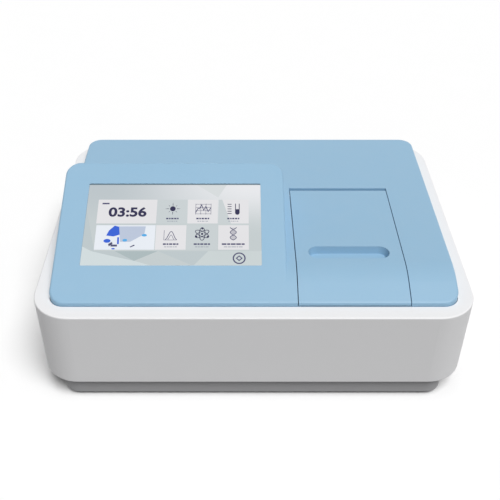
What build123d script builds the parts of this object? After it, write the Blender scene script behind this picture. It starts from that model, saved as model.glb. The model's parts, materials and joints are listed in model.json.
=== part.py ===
from build123d import *
import os
from math import atan2, cos, pi, radians, sin, tan

# A double-beam ultraviolet and visible spectrophotometer for the laboratory bench, in millimetres.
# X runs to the right, Y to the back and Z up. The origin is the centre of the footprint, on the bench top.

# Feet and base
foot_height = 3.5
foot_radius = 12.0
foot_inset = 28.0
plinth_height = 23.5
plinth_side_inset = 22.5
plinth_end_inset = 8.0
plinth_corner = 17.0
plinth_wall = 2.5
plinth_flange = 8.0
plinth_boss_radius = 10.0

# Casing
casing_height = 96.0
casing_corner = 42.0
casing_draft = 0.6
casing_wall = 3.0
casing_floor_lap = 6.0
rim_width = 18.0
rim_edge = 1.6
ledge_drop = 9.5
ledge_width = 8.0
ledge_thickness = 2.5

# Top cover and its raised display housing
cover_gap = 0.6
cover_wall = 3.0
cover_rise = 18.7
cover_edge = 2.5
front_lip = 4.8
slope_angle = 20.3
bend_radius = 80.0
housing_back_run = 30.0
housing_corner = 17.0
housing_root = 12.0
housing_to_lid = 10.3
rear_bay_depth = 122.4

# Display
window_width = 196.3
window_height = 110.2
window_left_margin = 29.1
window_right_margin = 26.7
window_reach = 45.8
window_back_margin = 31.02
window_lip = 1.2
glass_margin = 3.0
glass_thickness = 1.8
glass_clearance = 0.4
panel_side_lap = 7.35
panel_end_lap = 7.9
panel_thickness = 5.7
panel_frame = 7.0
panel_recess_depth = 1.2
bracket_sheet = 1.2
bracket_margin = 3.0
bracket_frame = 20.0
bracket_ear_inset = 14.0
bracket_ear_reach = 5.0
display_board_side_inset = 40.5
display_board_end_inset = 21.0
board_thickness = 1.6
display_standoff = 5.0

# Lid over the sample compartment
opening_width = 119.3
opening_right_margin = 51.1
opening_reach = 198.4
lid_gap = 0.9
lid_wall = 2.5
lid_skin = 3.0
lid_front_land = 9.0
lid_seal_gap = 0.3
well_wall = 2.2
barrel_radius = 6.0
barrel_gap = 1.0
hinge_rod_radius = 1.5
hinge_clearance = 0.06
hinge_ear = 8.0
grip_length = 89.5
grip_width = 21.7
grip_depth = 9.0
grip_reach = 69.0
grip_taper = 12.0
liner_thickness = 2.0
liner_clearance = 0.4

# Sample compartment
compartment_top_drop = 0.5
tub_gap = 0.3
tub_lap = 3.0
tub_wall = 2.5
tub_floor = 3.0
tub_corner = 5.0
seal_thickness = 1.2
seal_width = 4.4
beam_above_bench = 28.0
beam_spacing = 60.0
beam_to_back = 39.5
port_radius = 7.0
window_radius = 9.0
window_seat = 1.5
window_thickness = 2.0
window_fit = 0.15
stage_thickness = 6.0
stage_overhang = 20.5
stage_margin = 6.0
cell_width = 12.5
cell_fit = 0.2
cell_to_beam = 15.0
holder_width = 27.0
holder_height = 36.0
aperture_width = 7.0
aperture_height = 17.0
spring_thickness = 0.4
spring_width = 6.0

# Optical bench and its mounts
bench_thickness = 8.0
bench_boss_height = 15.0
bench_margin = 10.5
bench_end_margin = 12.5
bench_corner = 12.0
bench_rib = 4.0
bench_rib_depth = 8.0
mount_radius = 9.0
mount_height = 13.0

# Lamps and source mirror
source_inset = 67.0
source_to_rear = 71.0
lamp_spacing = 42.0
lamp_house_depth = 60.0
lamp_house_height = 68.0
lamp_house_margin = 26.0
lamp_house_left_margin = 14.0
lamp_slot_pitch = 10.0
lamp_slot_width = 4.0
lamp_slot_end = 14.0
sheet = 1.5
lamp_radius = 14.0
lamp_length = 44.0
lamp_flange_radius = 20.0
halogen_radius = 6.0
halogen_length = 30.0
source_mirror_width = 20.0
source_mirror_height = 22.0

# Filter wheel
filter_wheel_radius = 24.0
filter_pitch = 16.0
filter_hole = 5.5
filter_count = 6
filter_wheel_thickness = 4.0
filter_wheel_to_lamps = 22.0

# Monochromator
mono_inset = 14.0
mono_front_inset = 18.5
mono_to_wheel = 10.0
mono_to_splitter = 30.0
mono_height = 56.0
mono_wall = 4.0
mono_lid = 3.0
grating_offset = 2.0
grating_to_back = 36.0
grating_size = 25.0
grating_thickness = 6.0
turntable_radius = 17.0
turntable_thickness = 4.0
mirror_radius = 17.0
mirror_thickness = 6.0
mirror_focus = 150.0

# Beam optics and detectors
splitter_to_lens = 22.0
optic_radius = 12.0
optic_thickness = 3.0
lens_to_tub = 13.3
detector_width = 30.0
detector_length = 26.0
detector_gap = 3.0

# Motors
motor_size = 28.0
motor_length = 20.0
shaft_radius = 2.5
shaft_clearance = 0.05
small_motor_radius = 10.0
small_motor_length = 14.0

# Rear panel
panel_recess = 8.0
rear_panel_side_inset = 49.0
rear_panel_inset = 14.0
rear_panel_lap = 7.0
fan_size = 60.0
fan_depth = 20.0
fan_bore = 28.0
fan_hub = 12.5
fan_tip_gap = 1.0
fan_blades = 7
inlet_inset = 40.0
inlet_rise = 1.0
switch_to_inlet = 38.0

# Power supply and main board
supply_width = 118.0
supply_height = 38.0
supply_side_margin = 12.0
supply_to_opening = 14.0
supply_to_rear = 39.0
main_to_supply = 6.0
main_to_lamps = 25.0
main_standoff = 8.0

# Fasteners
screw_radius = 1.5
screw_head_radius = 2.8
screw_head_height = 1.8

# Overall sizes: the casing is as large as the display, the compartment and the rear bay need.
cover_width = (
    window_left_margin + window_width + window_right_margin + housing_to_lid + opening_width + opening_right_margin
)
cover_depth = opening_reach + rear_bay_depth
casing_width = cover_width + 2 * (rim_width + cover_gap)
casing_depth = cover_depth + 2 * (rim_width + cover_gap)
slope = radians(slope_angle)
housing_reach = (window_reach + window_height + window_back_margin) * cos(slope)

# Levels
casing_bottom = foot_height + plinth_height
rim_z = casing_bottom + casing_height
seat_z = rim_z - ledge_drop
flat_z = rim_z + cover_rise
compartment_top = rim_z - compartment_top_drop
lid_bottom = compartment_top + seal_thickness + lid_seal_gap
plinth_floor = foot_height + plinth_wall
boss_top = plinth_floor + bench_boss_height
bench_bottom = boss_top + mount_height
bench_top = bench_bottom + bench_thickness
beam_height = bench_top + beam_above_bench
rear_panel_bottom = casing_bottom + rear_panel_inset
rear_panel_top = rim_z - rear_panel_inset

# Plan positions
plinth_x = casing_width / 2 - plinth_side_inset
plinth_y = casing_depth / 2 - plinth_end_inset
cover_x = cover_width / 2
cover_y = cover_depth / 2
cover_front = -cover_y
cover_corner = plinth_corner - cover_gap
opening_right = cover_x - opening_right_margin
opening_left = opening_right - opening_width
opening_back = cover_front + opening_reach
opening_center = (opening_left + opening_right) / 2
housing_right = opening_left - housing_to_lid
housing_top_y = cover_front + housing_reach
bench_x = plinth_x - bench_margin
bench_y = plinth_y - bench_end_margin
hinge_y = opening_back - barrel_gap - barrel_radius
hinge_z = flat_z - barrel_radius

# Compartment tub
tub_left = opening_left + tub_gap + tub_lap
tub_right = opening_right - tub_gap - tub_lap
tub_front = cover_front + cover_wall + tub_gap + tub_lap
tub_back = hinge_y - barrel_radius - 0.5
stage_top = bench_top + tub_floor + stage_thickness
cell_floor = beam_height - cell_to_beam
reference_beam_y = tub_back - beam_to_back
sample_beam_y = reference_beam_y - beam_spacing

# Rear panel and the bay in front of it
rear_face = casing_depth / 2 - panel_recess
source_x = source_inset - bench_x
source_y = rear_face - source_to_rear
lamp_house_left = source_x - lamp_spacing - lamp_house_left_margin
lamp_house_right = source_x + lamp_spacing + lamp_house_margin
lamp_house_front = source_y - lamp_house_depth / 2
lamp_house_back = source_y + lamp_house_depth / 2
filter_wheel_y = lamp_house_front - filter_wheel_to_lamps
supply_right = bench_x - supply_side_margin
supply_left = supply_right - supply_width
supply_front = opening_back + supply_to_opening
supply_back = rear_face - supply_to_rear
inlet_x = supply_right - inlet_inset
inlet_z = (rear_panel_bottom + rear_panel_top) / 2 + inlet_rise
switch_x = inlet_x - switch_to_inlet

# Optics
lens_x = tub_left - lens_to_tub
splitter_x = lens_x - splitter_to_lens
mono_left = mono_inset - bench_x
mono_right = splitter_x - mono_to_splitter
mono_front = mono_front_inset - bench_y
mono_back = filter_wheel_y - mono_to_wheel
grating_x = (mono_left + mono_right) / 2 + grating_offset
grating_y = mono_back - grating_to_back

nodes = {}


def block(x0, x1, y0, y1, z0, z1):
    """A box between two corners."""
    return Pos((x0 + x1) / 2, (y0 + y1) / 2, (z0 + z1) / 2) * Box(x1 - x0, y1 - y0, z1 - z0)


def rounded_block(x0, x1, y0, y1, z0, z1, radius):
    """A box with rounded upright edges."""
    outline = RectangleRounded(x1 - x0, y1 - y0, radius)
    return Pos((x0 + x1) / 2, (y0 + y1) / 2, z0) * extrude(outline, z1 - z0)


def disc(x, y, z0, z1, radius):
    """An upright cylinder."""
    return Pos(x, y, (z0 + z1) / 2) * Cylinder(radius, z1 - z0)


def disc_x(y, z, x0, x1, radius):
    """A cylinder lying along X."""
    return Pos((x0 + x1) / 2, y, z) * Rot(0, 90, 0) * Cylinder(radius, x1 - x0)


def disc_y(x, z, y0, y1, radius):
    """A cylinder lying along Y."""
    return Pos(x, (y0 + y1) / 2, z) * Rot(90, 0, 0) * Cylinder(radius, y1 - y0)


def prism_x(points, x0, x1):
    """A solid between two X planes, with its outline given as (y, z) points."""
    return extrude(Plane.YZ.offset(x0) * make_face(Polyline(*points, close=True)), x1 - x0)


def turned(points, x, y, z):
    """A solid of revolution about an upright axis, with its outline given as (radius, height) points."""
    outline = make_face(Polyline(*points, close=True))
    return Pos(x, y, z) * revolve(Plane.XZ * outline, Axis.Z)


def corners(x, y):
    """The four points at plus and minus x and y."""
    return [(sx * x, sy * y) for sx in (-1, 1) for sy in (-1, 1)]


def joined(pieces):
    """All the pieces as one shape."""
    result = pieces[0]
    for piece in pieces[1:]:
        result = result + piece
    return result


def node(name, shape):
    """Keep a finished piece under the name of its node."""
    nodes[name] = shape


# Base and feet

mount_x = bench_x - 24.0
mount_y = bench_y - 26.0


def base_plinth():
    """The steel base tray, with a turned-in top flange, mounting bosses and air slots."""
    top = casing_bottom
    shell = rounded_block(-plinth_x, plinth_x, -plinth_y, plinth_y, foot_height, top, plinth_corner)
    shell = fillet(shell.faces().sort_by(Axis.Z)[0].edges(), 2.0)
    inner_x = plinth_x - plinth_wall
    inner_y = plinth_y - plinth_wall
    inner_corner = plinth_corner - plinth_wall
    hollow = rounded_block(-inner_x, inner_x, -inner_y, inner_y, plinth_floor, top - plinth_wall, inner_corner)
    open_x = plinth_x - plinth_flange
    open_y = plinth_y - plinth_flange
    mouth = rounded_block(-open_x, open_x, -open_y, open_y, plinth_floor, top + 1, plinth_corner - plinth_flange)
    tray = shell - hollow - mouth
    for x, y in corners(mount_x, mount_y):
        tray = tray + disc(x, y, plinth_floor, boss_top, plinth_boss_radius)
        tray = tray - disc(x, y, plinth_floor, boss_top + 1, screw_radius)
    slot_length = 60.0
    slot_pitch = 9.0
    slot_count = 7
    for side in (-1, 1):
        for index in range(slot_count):
            y = (index - (slot_count - 1) / 2) * slot_pitch
            slot = extrude(SlotOverall(slot_length, slot_pitch / 2), plinth_wall + 2)
            tray = tray - Pos(side * plinth_x / 2, y, foot_height - 1) * slot
    return tray


def rubber_feet():
    """Four round rubber feet, each with a recess for its screw."""
    feet = []
    for x, y in corners(plinth_x - foot_inset, plinth_y - foot_inset):
        outline = [
            (4.0, foot_height), (foot_radius, foot_height), (foot_radius - 1.2, 0.0),
            (5.5, 0.0), (5.5, 1.6), (4.0, 1.6),
        ]
        feet.append(turned(outline, x, y, 0))
    return joined(feet)


def bench_mounts():
    """Four waisted rubber mounts between the base bosses and the optical bench."""
    mounts = []
    waist = mount_radius - 2.5
    for x, y in corners(mount_x, mount_y):
        outline = [
            (screw_radius, 0), (mount_radius, 0), (mount_radius, 2.5), (waist, 4.5),
            (waist, mount_height - 4.5), (mount_radius, mount_height - 2.5),
            (mount_radius, mount_height), (screw_radius, mount_height),
        ]
        mounts.append(turned(outline, x, y, boss_top))
    return joined(mounts)


# Casing

rear_x = casing_width / 2 - rear_panel_side_inset


def casing_outline(inset, z_top, z_bottom):
    """The drafted outer form, brought in by an inset."""
    lean = tan(radians(casing_draft)) * (rim_z - z_top)
    outline = RectangleRounded(
        casing_width - 2 * (inset + lean), casing_depth - 2 * (inset + lean), casing_corner - inset
    )
    plane = Plane(origin=(0, 0, z_top), x_dir=(1, 0, 0), z_dir=(0, 0, -1))
    return extrude(plane * outline, z_top - z_bottom, taper=casing_draft)


def casing():
    """The moulded outer casing: drafted walls, a flat rim, a ledge for the cover and a turned-in floor."""
    outer = casing_outline(0, rim_z, casing_bottom)
    top_edges = outer.faces().sort_by(Axis.Z)[-1].edges()
    bottom_edges = outer.faces().sort_by(Axis.Z)[0].edges()
    outer = fillet(top_edges + bottom_edges, rim_edge)
    shell = outer - casing_outline(casing_wall, rim_z - casing_wall, casing_bottom + casing_wall)
    mouth_x = cover_x + cover_gap
    mouth_y = cover_y + cover_gap
    mouth_corner = cover_corner + cover_gap
    lip_x = mouth_x + ledge_thickness
    lip_y = mouth_y + ledge_thickness
    lip = rounded_block(
        -lip_x, lip_x, -lip_y, lip_y, seat_z - ledge_thickness, rim_z - casing_wall, mouth_corner + ledge_thickness
    )
    shell = shell + lip
    mouth = rounded_block(-mouth_x, mouth_x, -mouth_y, mouth_y, seat_z, rim_z + 1, mouth_corner)
    inside_x = mouth_x - ledge_width
    inside_y = mouth_y - ledge_width
    inside = rounded_block(
        -inside_x, inside_x, -inside_y, inside_y, seat_z - ledge_thickness - 1, rim_z, mouth_corner - ledge_width
    )
    shell = shell - mouth - inside
    # The ledge is cut back where the compartment's tub passes behind it.
    shell = shell - block(
        tub_left - 1, tub_right + 1, tub_front - tub_gap, inside_y, seat_z - ledge_thickness - 1, seat_z + 1
    )
    floor_x = plinth_x - casing_floor_lap
    floor_y = plinth_y - casing_floor_lap
    floor_corner = plinth_corner - casing_floor_lap
    shell = shell - rounded_block(
        -floor_x, floor_x, -floor_y, floor_y, casing_bottom - 1, casing_bottom + casing_wall + 1, floor_corner
    )
    # The rear opening has a frame that carries the recessed panel.
    frame = block(
        -rear_x - casing_wall, rear_x + casing_wall, rear_face, casing_depth / 2 - casing_wall,
        rear_panel_bottom - casing_wall, rear_panel_top + casing_wall,
    )
    opening = block(-rear_x, rear_x, rear_face - 1, casing_depth / 2 + 1, rear_panel_bottom, rear_panel_top)
    shell = shell + frame - opening
    for x, y in cover_screw_places():
        shell = shell - disc(x, y, seat_z - ledge_thickness - 1, seat_z + 1, screw_radius + 0.2)
    return shell


def cover_screw_places():
    """Where screws go up through the ledge into the cover's bosses."""
    edge_x = cover_x - 5.0
    edge_y = cover_y - 5.0
    sides = [(sx * edge_x, sy * cover_y * 0.62) for sx in (-1, 1) for sy in (-1, 1)]
    ends = [(sx * cover_x * 0.72, edge_y) for sx in (-1, 1)]
    return sides + ends


# Top cover


def slope_z(y, inset=0.0):
    """Height of the front slope at y, with the surface brought in by an inset."""
    return rim_z + front_lip + tan(slope) * (y - cover_front) - inset / cos(slope)


def plan_block(inset, z0, z1):
    """The cover's rounded plan outline between two heights."""
    x = cover_x - inset
    y = cover_y - inset
    return rounded_block(-x, x, -y, y, z0, z1, cover_corner - inset)


def low_form(inset, z0):
    """The low part of the cover: a short front face, the front slope, a long bend and the flat top."""
    front = cover_front + inset
    back = cover_y - inset
    top = flat_z - inset
    knee = cover_front + (top - slope_z(cover_front, inset)) / tan(slope)
    outline = make_face(
        Polyline((front, z0), (front, slope_z(front, inset)), (knee, top), (back, top), (back, z0), close=True)
    )
    bend = min(outline.vertices(), key=lambda v: abs(v.X - knee) + abs(v.Y - top))
    outline = fillet(bend, bend_radius - inset)
    x = cover_x - inset
    form = extrude(Plane.YZ.offset(-x) * outline, 2 * x)
    return form & plan_block(inset, z0 - 1, flat_z + 1)


def housing_form(inset, z0):
    """The raised display housing: the front slope carried on to a ridge, with a leaning back wall."""
    lean = atan2(slope_z(housing_top_y) - flat_z, housing_back_run)
    foot_y = housing_top_y + housing_back_run - inset / sin(lean)
    front = cover_front + inset
    ridge_y = (foot_y + (flat_z - slope_z(0, inset)) / tan(lean)) / (1 + tan(slope) / tan(lean))
    low_z = flat_z - housing_root
    low_y = foot_y + housing_root / tan(lean)
    points = [
        (front, z0), (front, slope_z(front, inset)), (ridge_y, slope_z(ridge_y, inset)), (low_y, low_z), (low_y, z0),
    ]
    return prism_x(points, -cover_x + inset, housing_right - inset)


def rounded_top(form, radius):
    """Round the edges where upward faces meet the sides."""
    tops = [face for face in form.faces() if face.normal_at(face.center()).Z > 0.5]
    rim = []
    for edge in form.edges():
        shared = sum(1 for face in tops if any(edge.is_same(other) for other in face.edges()))
        if shared == 1 and edge.center().Z > rim_z:
            rim.append(edge)
    return fillet(rim, radius)


def cover_outside():
    """The outer form of the cover's low part, rounded along its edges."""
    return rounded_top(low_form(0, seat_z), cover_edge)


def rounded_housing(inset, z0):
    """The display housing with its two back corners rounded."""
    form = housing_form(inset, z0)
    slanted = []
    for edge in form.edges():
        across = abs(edge.tangent_at(0.5).X) < 0.1
        if across and edge.center().Y > housing_top_y and edge.center().Z > flat_z - housing_root:
            slanted.append(edge)
    form = fillet(slanted, housing_corner - inset)
    return form & plan_block(inset, z0 - 1, flat_z + 100)


def housing_outside():
    """The outer form of the display housing, with its edges rounded."""
    return rounded_top(rounded_housing(0, seat_z), cover_edge)


screen_plane = Plane(
    origin=(
        -cover_x + window_left_margin + window_width / 2,
        cover_front + window_reach * cos(slope) + window_height / 2 * cos(slope),
        slope_z(cover_front + (window_reach + window_height / 2) * cos(slope)),
    ),
    x_dir=(1, 0, 0),
    z_dir=(0, -sin(slope), cos(slope)),
)


def on_screen(x, y, z0, z1, width, height, radius=0.0):
    """A plate lying parallel to the screen, between two depths measured from the slope's surface."""
    outline = RectangleRounded(width, height, radius) if radius else Rectangle(width, height)
    return screen_plane * (Pos(x, y, z0) * extrude(outline, z1 - z0))


glass_width = window_width + 2 * glass_margin
glass_height = window_height + 2 * glass_margin
glass_back = -window_lip - glass_thickness
panel_width = window_width + 2 * panel_side_lap
panel_height = window_height + 2 * panel_end_lap
panel_back = glass_back - panel_thickness
bracket_back = panel_back - bracket_sheet
bracket_width = panel_width + 2 * bracket_margin
bracket_height = panel_height + 2 * bracket_margin
bracket_ears = corners(bracket_width / 2 - bracket_ear_inset, bracket_height / 2 + bracket_ear_reach)
display_board_width = panel_width - 2 * display_board_side_inset
display_board_height = panel_height - 2 * display_board_end_inset


def well_ring():
    """Walls hanging from the cover round the lid opening, with a ledge at their foot for the tub."""
    left = opening_left - well_wall
    right = opening_right + well_wall
    back = opening_back + well_wall
    ledge_top = compartment_top - tub_wall - tub_gap
    ledge_bottom = ledge_top - tub_wall
    ring = block(left, right, cover_front + cover_wall, back, ledge_bottom, flat_z - cover_wall / 2)
    ring = ring - block(
        opening_left, opening_right, cover_front, opening_back, ledge_top, flat_z
    )
    ring = ring - block(
        tub_left - tub_gap, tub_right + tub_gap, tub_front - tub_gap, opening_back - tub_lap, ledge_bottom - 1, flat_z
    )
    return ring


def hinge_ears():
    """Bosses beside the opening that hold the ends of the hinge rod."""
    ears = []
    for x0, x1 in (
        (opening_left - well_wall - hinge_ear, opening_left - well_wall),
        (opening_right + well_wall, opening_right + well_wall + hinge_ear),
    ):
        ears.append(disc_x(hinge_y, hinge_z, x0, x1, barrel_radius - 1.0))
        ears.append(block(x0, x1, hinge_y - 2.5, hinge_y + 2.5, hinge_z, flat_z - cover_wall / 2))
    return joined(ears)


def top_cover():
    """The blue moulded cover with the display housing, the lid opening and its inner walls and bosses."""
    outside = cover_outside() + housing_outside()
    inside = low_form(cover_wall, seat_z - 1) + rounded_housing(cover_wall, seat_z - 1)
    cover = outside - inside
    bosses = [disc(x, y, seat_z, flat_z, 4.0) for x, y in cover_screw_places()]
    bosses = bosses + [
        screen_plane * (Pos(x, y, panel_back) * extrude(Circle(4.0), -panel_back)) for x, y in bracket_ears
    ]
    cover = cover + (joined(bosses) & outside)
    cover = cover + (well_ring() & outside) + (hinge_ears() & outside)
    cover = cover - block(
        opening_left, opening_right, cover_front - 1, opening_back, compartment_top, flat_z + 1
    )
    cover = cover - on_screen(0, 0, -cover_wall - 1, 1, window_width, window_height, 1.5)
    pocket_width = glass_width + 2 * glass_clearance
    pocket_height = glass_height + 2 * glass_clearance
    cover = cover - on_screen(0, 0, -cover_wall - 1, -window_lip, pocket_width, pocket_height, 2.0)
    bore = hinge_rod_radius + hinge_clearance
    reach = well_wall + hinge_ear - 2.0
    cover = cover - disc_x(hinge_y, hinge_z, opening_left - reach, opening_right + reach, bore)
    for x, y in cover_screw_places():
        cover = cover - disc(x, y, seat_z - 1, seat_z + 12.0, screw_radius)
    for x, y in bracket_ears:
        hole = screen_plane * (Pos(x, y, panel_back - 1) * extrude(Circle(screw_radius), 1 - panel_back - 2.0))
        cover = cover - hole
    return cover


# Display


def display_glass():
    """The touch glass behind the cover's window."""
    return on_screen(0, 0, glass_back, -window_lip, glass_width, glass_height, 1.6)


def display_panel():
    """The liquid-crystal module in its folded metal frame."""
    body = on_screen(0, 0, panel_back, glass_back, panel_width, panel_height, 1.0)
    hollow_width = panel_width - 2 * panel_frame
    hollow_height = panel_height - 2 * panel_frame
    return body - on_screen(0, 0, panel_back - 1, panel_back + panel_recess_depth, hollow_width, hollow_height, 1.0)


def display_bracket():
    """The sheet tray that holds the module against the cover."""
    tray = on_screen(0, 0, bracket_back, glass_back - 1.0, bracket_width, bracket_height, 2.0)
    clear_width = panel_width + 2 * glass_clearance
    clear_height = panel_height + 2 * glass_clearance
    tray = tray - on_screen(0, 0, panel_back, glass_back, clear_width, clear_height, 1.0)
    open_width = panel_width - 2 * bracket_frame
    open_height = panel_height - 2 * bracket_frame
    tray = tray - on_screen(0, 0, bracket_back - 1, panel_back + 1, open_width, open_height, 4.0)
    for x, y in bracket_ears:
        tray = tray + on_screen(x, y * 0.97, bracket_back, panel_back, 12.0, 14.0, 2.0)
        tray = tray - screen_plane * (Pos(x, y, bracket_back - 1) * extrude(Circle(screw_radius + 0.2), 4.0))
    rail_y = display_board_height / 2 - 4.0
    for y in (-rail_y, rail_y):
        rail = on_screen(0, y, bracket_back, panel_back, open_width + 10.0, 8.0)
        tray = tray + rail
    return tray


def display_board():
    """The display's driver board on four spacers behind the bracket."""
    back = bracket_back - display_standoff
    board = on_screen(0, 0, back - board_thickness, back, display_board_width, display_board_height, 2.0)
    for x, y in corners(display_board_width / 2 - 6.0, display_board_height / 2 - 4.0):
        spacer = extrude(Circle(3.0), display_standoff)
        board = board + screen_plane * (Pos(x, y, back) * spacer)
    board = board + on_screen(-20.0, 5.0, back - board_thickness - 2.0, back - board_thickness, 22.0, 22.0)
    board = board + on_screen(22.0, -8.0, back - board_thickness - 1.2, back - board_thickness, 14.0, 20.0)
    socket_y = display_board_height / 2 - 10.0
    board = board + on_screen(10.0, socket_y, back - board_thickness - 5.0, back - board_thickness, 44.0, 6.0)
    return board


# Lid

lid_left = opening_left + lid_gap
lid_right = opening_right - lid_gap
liner_z = lid_bottom + 1.5
cross_wall_y = tub_back + 1.4
grip_y = cover_front + grip_reach


def grip_solid(grow, z0, z1):
    """A tapered, round-ended solid for the finger grip."""
    outline = SlotOverall(grip_length + 2 * grow, grip_width + 2 * grow)
    plane = Plane(origin=(opening_center, grip_y, z1), x_dir=(1, 0, 0), z_dir=(0, 0, -1))
    return extrude(plane * outline, z1 - z0, taper=grip_taper)


def sample_lid():
    """The bent lid: a shell with side walls, a finger grip and a hinge barrel along its back edge."""
    reach = block(lid_left, lid_right, cover_front - 1, hinge_y, lid_bottom, flat_z + 1)
    lid = cover_outside() & reach
    hollow_reach = block(
        lid_left + lid_wall, lid_right - lid_wall, cover_front + lid_front_land, cross_wall_y, lid_bottom - 1, flat_z
    )
    lid = lid - (low_form(lid_skin, lid_bottom - 2) & hollow_reach)
    behind = block(
        lid_left + lid_wall, lid_right - lid_wall, cross_wall_y + lid_wall, hinge_y + 1, lid_bottom - 1,
        flat_z - lid_skin,
    )
    lid = lid - behind
    barrel = disc_x(hinge_y, hinge_z, lid_left, lid_right, barrel_radius)
    lid = lid + barrel
    grip_floor = flat_z - grip_depth
    cup = grip_solid(2.0, grip_floor - lid_wall, flat_z - 0.5)
    for x, y in liner_screw_places():
        lid = lid + (disc(x, y, liner_z + liner_thickness, flat_z - 1.0, 3.5) & cover_outside())
        lid = lid - disc(x, y, liner_z, liner_z + 7.0, screw_radius)
    lid = lid + cup - grip_solid(0, grip_floor, flat_z + 0.0) - grip_solid(0, flat_z - 0.2, flat_z + 1)
    lid = lid - disc_x(hinge_y, hinge_z, lid_left - 1, lid_right + 1, hinge_rod_radius + hinge_clearance)
    for x in magnet_places():
        lid = lid - disc(x, magnet_y, lid_bottom - 1, lid_bottom + magnet_height, magnet_radius + 0.1)
    return lid


magnet_radius = 3.0
magnet_height = 2.0
magnet_y = tub_front - 0.5


def magnet_places():
    """The X positions of the two catch magnets."""
    return [opening_center - 35.0, opening_center + 35.0]


def liner_screw_places():
    """Where the liner is screwed to the lid."""
    half = (lid_right - lid_left) / 2 - 10.0
    rows = (cover_front + 42.0, cross_wall_y - 12.0)
    return [(opening_center + side * half, y) for side in (-1, 1) for y in rows]


def lid_liner():
    """The black inner plate of the lid, dished round its middle."""
    gap = lid_wall + liner_clearance
    front = cover_front + 22.0
    back = cross_wall_y - liner_clearance
    plate = rounded_block(lid_left + gap, lid_right - gap, front, back, liner_z, liner_z + liner_thickness, 3.0)
    ring = rounded_block(lid_left + 18.0, lid_right - 18.0, front + 16.0, back - 20.0, liner_z - 1.2, liner_z, 6.0)
    inner = rounded_block(
        lid_left + 20.5, lid_right - 20.5, front + 18.5, back - 22.5, liner_z - 2.0, liner_z + 0.1, 4.0
    )
    plate = plate + (ring - inner)
    for x, y in liner_screw_places():
        plate = plate - disc(x, y, liner_z - 1, liner_z + liner_thickness + 1, screw_radius + 0.2)
    return plate


def liner_screws():
    """Four pan-head screws under the lid."""
    pieces = []
    for x, y in liner_screw_places():
        head = disc(x, y, liner_z - screw_head_height, liner_z, screw_head_radius)
        pieces.append(head + disc(x, y, liner_z, liner_z + 6.5, screw_radius - 0.1))
    return joined(pieces)


def lid_magnets():
    """Two catch magnets in the front land of the lid."""
    return joined([disc(x, magnet_y, lid_bottom, lid_bottom + magnet_height, magnet_radius) for x in magnet_places()])


def hinge_rod():
    """The steel rod that the lid turns on."""
    reach = well_wall + hinge_ear - 2.2
    return disc_x(hinge_y, hinge_z, opening_left - reach, opening_right + reach, hinge_rod_radius)


# Sample compartment


def tub_flange_block(z0, z1):
    """The outline of the tub's top flange, which fills the cover's opening."""
    return block(
        opening_left + tub_gap, opening_right - tub_gap, cover_front + cover_wall + tub_gap, opening_back - tub_gap,
        z0, z1,
    )


def compartment_tub():
    """The black light-tight tub of the sample compartment, with four beam ports."""
    flange = tub_flange_block(compartment_top - tub_wall, compartment_top)
    body = rounded_block(
        tub_left, tub_right, tub_front, tub_back, bench_top, compartment_top, tub_corner + tub_wall
    )
    inside = rounded_block(
        tub_left + tub_wall, tub_right - tub_wall, tub_front + tub_wall, tub_back - tub_wall,
        bench_top + tub_floor, compartment_top + 1, tub_corner,
    )
    tub = flange + body - inside
    for y in (sample_beam_y, reference_beam_y):
        tub = tub - disc_x(y, beam_height, tub_left - 1, tub_right + 1, port_radius)
        seat_radius = window_radius + window_fit
        tub = tub - disc_x(y, beam_height, tub_left - 1, tub_left + window_seat, seat_radius)
        tub = tub - disc_x(y, beam_height, tub_right - window_seat, tub_right + 1, seat_radius)
    for x, y in stage_screw_places():
        tub = tub - disc(x, y, bench_top - 1, bench_top + tub_floor + 1, screw_radius + 0.2)
    return tub


def light_seal():
    """The soft black frame that the closed lid rests on."""
    z0 = compartment_top
    z1 = compartment_top + seal_thickness
    left = opening_left + tub_gap + 0.5
    right = opening_right - tub_gap - 0.5
    front = cover_front + cover_wall + tub_gap + 0.4
    back = cross_wall_y + lid_wall + 1.0
    ring = rounded_block(left, right, front, back, z0, z1, 2.0)
    return ring - rounded_block(
        left + seal_width, right - seal_width, front + seal_width, back - seal_width, z0 - 1, z1 + 1, 1.0
    )


def beam_windows():
    """Four quartz windows over the beam ports."""
    panes = []
    for y in (sample_beam_y, reference_beam_y):
        left = tub_left + window_seat
        right = tub_right - window_seat
        panes.append(disc_x(y, beam_height, left - window_thickness, left, window_radius))
        panes.append(disc_x(y, beam_height, right, right + window_thickness, window_radius))
    return joined(panes)


stage_front = sample_beam_y - holder_width / 2 - stage_overhang
stage_back = reference_beam_y + holder_width / 2 + stage_overhang
stage_left = tub_left + tub_wall + stage_margin
stage_right = tub_right - tub_wall - stage_margin


def stage_screw_places():
    """Where the stage is screwed down."""
    x = (stage_right - stage_left) / 2 - 8.0
    middle = (stage_front + stage_back) / 2
    reach = (stage_back - stage_front) / 2 - 8.0
    return [(opening_center + sx * x, middle + sy * reach) for sx in (-1, 1) for sy in (-1, 1)]


def cell_stage():
    """The removable plate that carries both cell holders."""
    floor = bench_top + tub_floor
    plate = rounded_block(stage_left, stage_right, stage_front, stage_back, floor, stage_top, 4.0)
    plate = chamfer(plate.faces().sort_by(Axis.Z)[-1].edges(), 0.8)
    middle = (stage_front + stage_back) / 2
    plate = plate - rounded_block(
        opening_center - 30.0, opening_center + 30.0, middle - 8.0, middle + 8.0, floor - 1, stage_top + 1, 5.0
    )
    for x, y in stage_screw_places():
        plate = plate - disc(x, y, floor - 1, stage_top + 1, screw_radius + 0.2)
        plate = plate - disc(x, y, stage_top - 2.4, stage_top + 1, screw_head_radius + 0.3)
    return plate


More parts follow.
